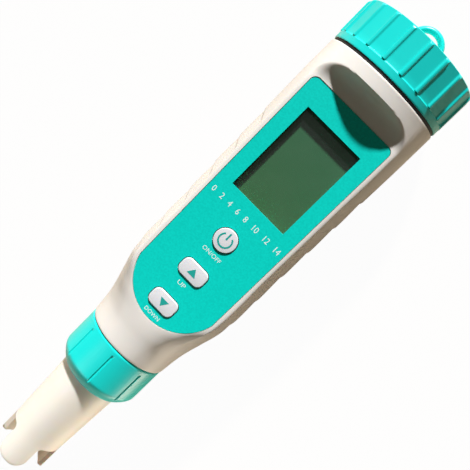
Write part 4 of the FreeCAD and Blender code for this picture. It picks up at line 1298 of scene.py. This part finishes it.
@dataclass
class LockCollar:
    """The teal collar with eight grooves that draw in with its nose."""

    face: float = 101.1
    drop: float = 1.2
    radius: float = 13.3
    gap: float = 0.35
    straight: float = 11.9
    end: float = 15.9
    end_radius: float = 10.6
    draw: float = 1.5
    bore: float = 11.7
    lip: float = 9.9
    throat: float = 10.0
    throat_edge: float = 0.15
    start_round: tuple[float, float] = (0.09, 0.3)
    end_round: tuple[float, float] = (0.1, 0.35)
    row_step: float = 0.3
    row_count: int = 50
    grooves: int = 8
    groove_flat: float = 0.15
    groove_half: float = 0.42
    groove_depth: float = 0.42
    groove_start: float = 2.2
    groove_fade: float = 0.3
    groove_turn: float = 86.5
    groove_steps: tuple[float, ...] = (
        0.0, 0.35, 0.8, 1.3, 1.8, 2.4, 4.0, 7.0, 11.0, 15.0, 19.0, 22.5)

    def outside(self, reach: float) -> float:
        """Radius of the plain collar, straight and then drawn in."""
        share = max(0.0, (reach - self.straight) / (self.end - self.straight))
        return self.radius - (self.radius - self.end_radius) * share ** self.draw

    def grooved(self, turn: float, reach: float, inset: float) -> float:
        """Radius of the collar's skin with its grooves.

        Args:
            turn: The angle round the collar.
            reach: The distance from the housing's end.
            inset: How far the row lies under the skin.

        Returns:
            The radius.
        """
        pitch = math.tau / self.grooves
        turned = turn - math.radians(self.groove_turn)
        off = abs((turned + pitch / 2) % pitch - pitch / 2) * self.radius
        depth = 1 - smooth(self.groove_flat, self.groove_half, off)
        start = smooth(self.groove_start - self.groove_fade, self.groove_start + self.groove_fade,
                       reach)
        depth *= self.groove_depth * start
        return min(self.outside(reach) - inset, self.radius - depth)

    def row(self, reach: float, radius: Optional[float] = None, inset: float = 0.0) -> Row:
        """One row of the collar.

        Args:
            reach: Its distance from the housing's end.
            radius: Its radius, or None for the grooved skin.
            inset: How far it lies under the skin.

        Returns:
            The place at an angle.
        """
        def place(turn: float) -> Vector:
            """The place at an angle."""
            size = self.grooved(turn, reach, inset) if radius is None else radius
            return at(size * math.cos(turn), self.face + reach, size * math.sin(turn) - self.drop)
        return place

    def angles(self) -> list[float]:
        """Columns, closer together at the grooves.

        Returns:
            Their angles in radians.
        """
        pitch = 360.0 / self.grooves
        steps = list(self.groove_steps)
        offsets = steps + [pitch - step for step in reversed(steps[1:-1])]
        return [math.radians(self.groove_turn + pitch * number + offset)
                for number in range(self.grooves) for offset in offsets]

    def rows(self) -> list[Row]:
        """Once round the wall: skin, drawn-in end, throat and bore.

        Returns:
            For each row, the place at an angle.
        """
        near, far = self.start_round
        found = [self.row(self.gap, self.bore), self.row(self.gap, inset=far),
                 self.row(self.gap + near, inset=near)]
        found += [self.row(self.gap + far + self.row_step * number)
                  for number in range(self.row_count)]
        near, far = self.end_round
        found += [self.row(self.end - near, inset=near), self.row(self.end, inset=far)]
        edge = self.throat_edge
        return found + [self.row(reach, radius) for reach, radius in (
            (self.end, self.throat + edge), (self.end - edge, self.throat),
            (self.lip, self.throat), (self.lip, self.bore))]

    def build(self) -> None:
        """Makes the collar."""
        collar = Bench.sleeve("collar_moulding", self.angles(), self.rows())
        Bench.shade(collar, degrees=40)
        finish_piece(collar, TEAL, "collar", "teal_moulding", "lock_collar")


# ---- the electrode tube


@dataclass
class ElectrodeTube:
    """The cream tube whose end is a crown of three round tongues."""

    face: float = 101.1
    drop: float = 1.2
    rear: float = 5.0
    plug_radius: float = 9.3
    flange_radius: float = 11.3
    flange_start: float = 7.9
    flange_end: float = 9.8
    top_radius: float = 9.7
    collar_end: float = 15.9
    tip_radius: float = 8.6
    crown: float = 41.0
    length: float = 50.8
    bore: float = 7.3
    taper_rows: int = 12
    crown_rows: int = 10
    columns: int = 180
    slots: tuple[float, ...] = (30.0, 150.0, 270.0)
    slot_half: float = 3.85
    slot_round: float = 1.4
    slot_steps: int = 6
    slot_past: tuple[float, float] = (1.0, 2.0)
    flat_half: float = 0.9
    tip_round: float = 4.3
    tip_limit: float = 0.999
    tip_turn: float = 90.0
    end_edge: tuple[float, float] = (0.07, 0.25)
    bore_edge: float = 0.2

    def shortfall(self, turn: float) -> float:
        """How far the tongue's round end lies behind its tip.

        Args:
            turn: The angle round the tube.

        Returns:
            The distance along the tube.
        """
        pitch = 360.0 / len(self.slots)
        off = abs((math.degrees(turn) - self.tip_turn + pitch / 2) % pitch - pitch / 2)
        past = max(0.0, math.radians(off) * self.tip_radius - self.flat_half)
        past = min(self.tip_round * self.tip_limit, past)
        return self.tip_round - math.sqrt(self.tip_round ** 2 - past ** 2)

    def row(self, radius: float, reach: float, bend: float = 0.0) -> Row:
        """One row of the tube.

        Args:
            radius: Its radius.
            reach: Its distance from the housing's end.
            bend: The share of the tongue's round end that it follows.

        Returns:
            The place at an angle.
        """
        def place(turn: float) -> Vector:
            """The place at an angle."""
            station = self.face + reach - bend * self.shortfall(turn)
            return at(radius * math.cos(turn), station, radius * math.sin(turn) - self.drop)
        return place

    def rows(self) -> list[Row]:
        """Once round the wall: plug, flange, tube, tongue ends and bore.

        Returns:
            For each row, the place at an angle.
        """
        plug, flange = self.plug_radius, self.flange_radius
        top, tip = self.top_radius, self.tip_radius
        places = [(plug, -self.rear), (plug, self.flange_start), (flange, self.flange_start),
                  (flange, self.flange_end), (top, self.flange_end), (top, self.collar_end)]
        taper = self.crown - self.collar_end
        shares = [number / self.taper_rows for number in range(1, self.taper_rows + 1)]
        places += [(top + (tip - top) * share, self.collar_end + taper * share)
                   for share in shares]
        bends = [(self.crown + (self.length - self.crown) * number / self.crown_rows,
                  (number / self.crown_rows) ** 2) for number in range(self.crown_rows)]
        places += [(tip, *bend) for bend in bends[1:]]
        near, far = self.end_edge
        places += [(tip, self.length - far, 1.0), (tip - near, self.length - near, 1.0),
                   (tip - far, self.length, 1.0), (self.bore + self.bore_edge, self.length, 1.0),
                   (self.bore, self.length - self.bore_edge, 1.0)]
        places += [(self.bore, *bend) for bend in reversed(bends)]
        return [self.row(*place) for place in places + [(self.bore, -self.rear)]]

    def cutter(self, number: int, degrees: float) -> bpy.types.Object:
        """A straight slot with rounded roots, turned to its place.

        Args:
            number: Its number in the row of slots.
            degrees: Its angle round the tube.

        Returns:
            The block that is cut away.
        """
        half, corner = self.slot_half, self.slot_round
        past, above = self.slot_past
        root, open_end = self.face + self.crown, self.face + self.length + past
        outline = [(half, open_end), (half, root + corner)]
        outline += arc_points(half - corner, root + corner, corner, 0, 90, self.slot_steps)[1:]
        outline += arc_points(corner - half, root + corner, corner, 90, 180, self.slot_steps)
        outline += [(-half, open_end)]
        block = Bench.plate(f"slot_{number}", outline, -self.drop, self.tip_radius + above)
        centre = at(0, 0, -self.drop)
        turned = Matrix.Rotation(math.radians(90.0 - degrees), 4, "Y")
        block.data.transform(Matrix.Translation(centre) @ turned @ Matrix.Translation(-centre))
        return block

    def build(self) -> None:
        """Makes the tube and cuts its three slots."""
        angles = [math.tau * number / self.columns for number in range(self.columns)]
        tube = Bench.sleeve("electrode_shell", angles, self.rows())
        for number, degrees in enumerate(self.slots):
            Bench.carve(tube, self.cutter(number, degrees))
        Bench.shade(tube, degrees=40)
        finish_piece(tube, TUBE, "electrode", "tube_white", "electrode_tube")


# ---- what the CAD already holds


class CarriedNodes:
    """Gives each CAD node that stays visible the finish of its slot."""

    def dress(self) -> None:
        """Walks the record's list of nodes and slots."""
        for part in frame["record"]["subparts"]:
            name = part["node"]
            finish = NODE_FINISHES.get(name, SLOT_FINISHES[part["material_slot"]])
            node = frame["nodes"][name]
            if not node.data.materials:
                node.data.materials.append(None)
            for slot in node.material_slots:
                slot.material = finish.material()
            log.info("%s: %s", name, finish.name)


# ---- light, floor and camera


def hang(name: str, data: bpy.types.ID) -> bpy.types.Object:
    """Puts a lamp or a camera into the scene.

    Args:
        name: Its name.
        data: The lamp's or the camera's own settings.

    Returns:
        The new object.
    """
    placed = bpy.data.objects.new(name, data)
    bpy.context.scene.collection.objects.link(placed)
    return placed


def facing(direction: Vector) -> Euler:
    """The turn that points a lamp away from a direction."""
    return direction.to_track_quat("Z", "Y").to_euler()


@dataclass(frozen=True)
class Card:
    """A lit card beside the tester: its place, what it faces, size, colour, power and spread."""

    name: str
    place: tuple[float, float, float]
    towards: tuple[float, float, float]
    size: tuple[float, float]
    colour: tuple[float, float, float]
    power: float
    spread: float

    def build(self) -> None:
        """Adds the card as an area lamp."""
        data = bpy.data.lights.new(self.name, "AREA")
        data.shape = "RECTANGLE"
        data.size, data.size_y = (side * MM for side in self.size)
        data.energy = self.power
        data.color = self.colour
        data.spread = math.radians(self.spread)
        lamp = hang(self.name, data)
        lamp.location = at(*self.place)
        lamp.rotation_euler = facing(lamp.location - at(*self.towards))


@dataclass
class Studio:
    """A low sun from the cap's left, a soft warm fill, two cards, a white floor and the camera."""

    sun_from: tuple[float, float, float] = (-0.34, 0.82, 0.42)
    sun_strength: float = 6.6
    sun_spread: float = 3.5
    fill: Colour = (1.0, 0.9, 0.66, 1.0)
    fill_strength: float = 0.08
    sky_gloss: float = 0.22
    cards: tuple[Card, ...] = (
        Card("side_card", (58.0, 152.0, -8.0), (0.0, 132.0, -2.0), (70.0, 40.0), (1.0, 0.9, 0.76),
             0.015, 90.0),
        Card("front_card", (-38.0, 168.0, 62.0), (0.0, 106.0, 2.0), (60.0, 60.0),
             (1.0, 0.97, 0.92), 0.0024, 50.0))
    floor_size: float = 6.0
    floor_colour: Colour = (0.7, 0.57, 0.42, 1.0)
    floor_glow: float = 0.97
    camera_at: tuple[float, float, float] = (8.11, 40.22, 211.88)
    focal_px: float = 688.42
    frame_px: float = 470.0
    sensor: float = 36.0
    near: float = 0.01
    pitch: float = -0.1611
    roll: float = 0.0409
    yaw: float = 0.0048

    def light(self) -> None:
        """The sun, the cards and the world."""
        data = bpy.data.lights.new("key_light", "SUN")
        data.energy = self.sun_strength
        data.angle = math.radians(self.sun_spread)
        hang("key_light", data).rotation_euler = facing(Vector(self.sun_from))
        for card in self.cards:
            card.build()
        world = bpy.data.worlds.new("studio")
        bpy.context.scene.world = world
        world.use_nodes = True
        graph = Graph(world.node_tree)
        path, glossy, clear = (graph.node("ShaderNodeLightPath", output=f"Is {kind} Ray")
                               for kind in ("Camera", "Glossy", "Transmission"))
        seen = path + glossy * self.sky_gloss + clear
        white, soft = (
            graph.node("ShaderNodeBackground", None, {"Color": colour, "Strength": power})
            for colour, power in ((WHITE, 1.0), (self.fill, self.fill_strength)))
        both = graph.node("ShaderNodeMixShader", None, {0: seen, 1: soft, 2: white})
        graph.finish(both, "ShaderNodeOutputWorld")

    def floor(self) -> None:
        """A wide floor that the camera sees as near white and that keeps a faint shadow."""
        Bench.clear()
        bpy.ops.mesh.primitive_plane_add(size=self.floor_size)
        ground = Bench.named("studio_floor")
        material = bpy.data.materials.new("studio floor")
        material.use_nodes = True
        graph = Graph(material.node_tree)
        path = graph.node("ShaderNodeLightPath", output="Is Camera Ray")
        paper = graph.node("ShaderNodeBsdfDiffuse", None, {"Color": self.floor_colour})
        glow = graph.node("ShaderNodeEmission", None, {"Color": WHITE, "Strength": 1.0})
        graph.finish(graph.node("ShaderNodeMixShader", None, {
            0: path * self.floor_glow, 1: paper, 2: glow}))
        ground.data.materials.append(material)

    def camera(self) -> None:
        """The photograph's viewpoint and angle of view."""
        turn = (Matrix.Rotation(self.roll, 3, "Y") @ Matrix.Rotation(self.pitch, 3, "X")
                @ Matrix.Rotation(self.yaw, 3, "Z"))
        along, across, away = turn.col[1], turn.col[0], -turn.col[2]
        half = math.sqrt(0.5)
        right = (along + across) * half
        up = (along - across) * half
        data = bpy.data.cameras.new("view")
        data.sensor_width = self.sensor
        data.lens = self.focal_px * self.sensor / self.frame_px
        data.clip_start = self.near
        eye = hang("view", data)
        axes = Matrix((right, up, -away)).transposed().to_4x4()
        eye.matrix_world = Matrix.Translation(Vector(self.camera_at) * MM) @ axes
        bpy.context.scene.camera = eye

    def build(self) -> None:
        """Sets the whole scene round the tester."""
        self.light()
        self.floor()
        self.camera()
        bpy.context.scene.view_settings.view_transform = "Standard"


def main() -> None:
    """Dresses the tester, piece by piece."""
    logging.basicConfig(level=logging.INFO, format="%(name)s %(message)s")
    CarriedNodes().dress()
    for assembly in (Housing, Overlay, Keys, BatteryCap, LockCollar, ElectrodeTube, Studio):
        assembly().build()


if __name__ == "__main__":
    main()
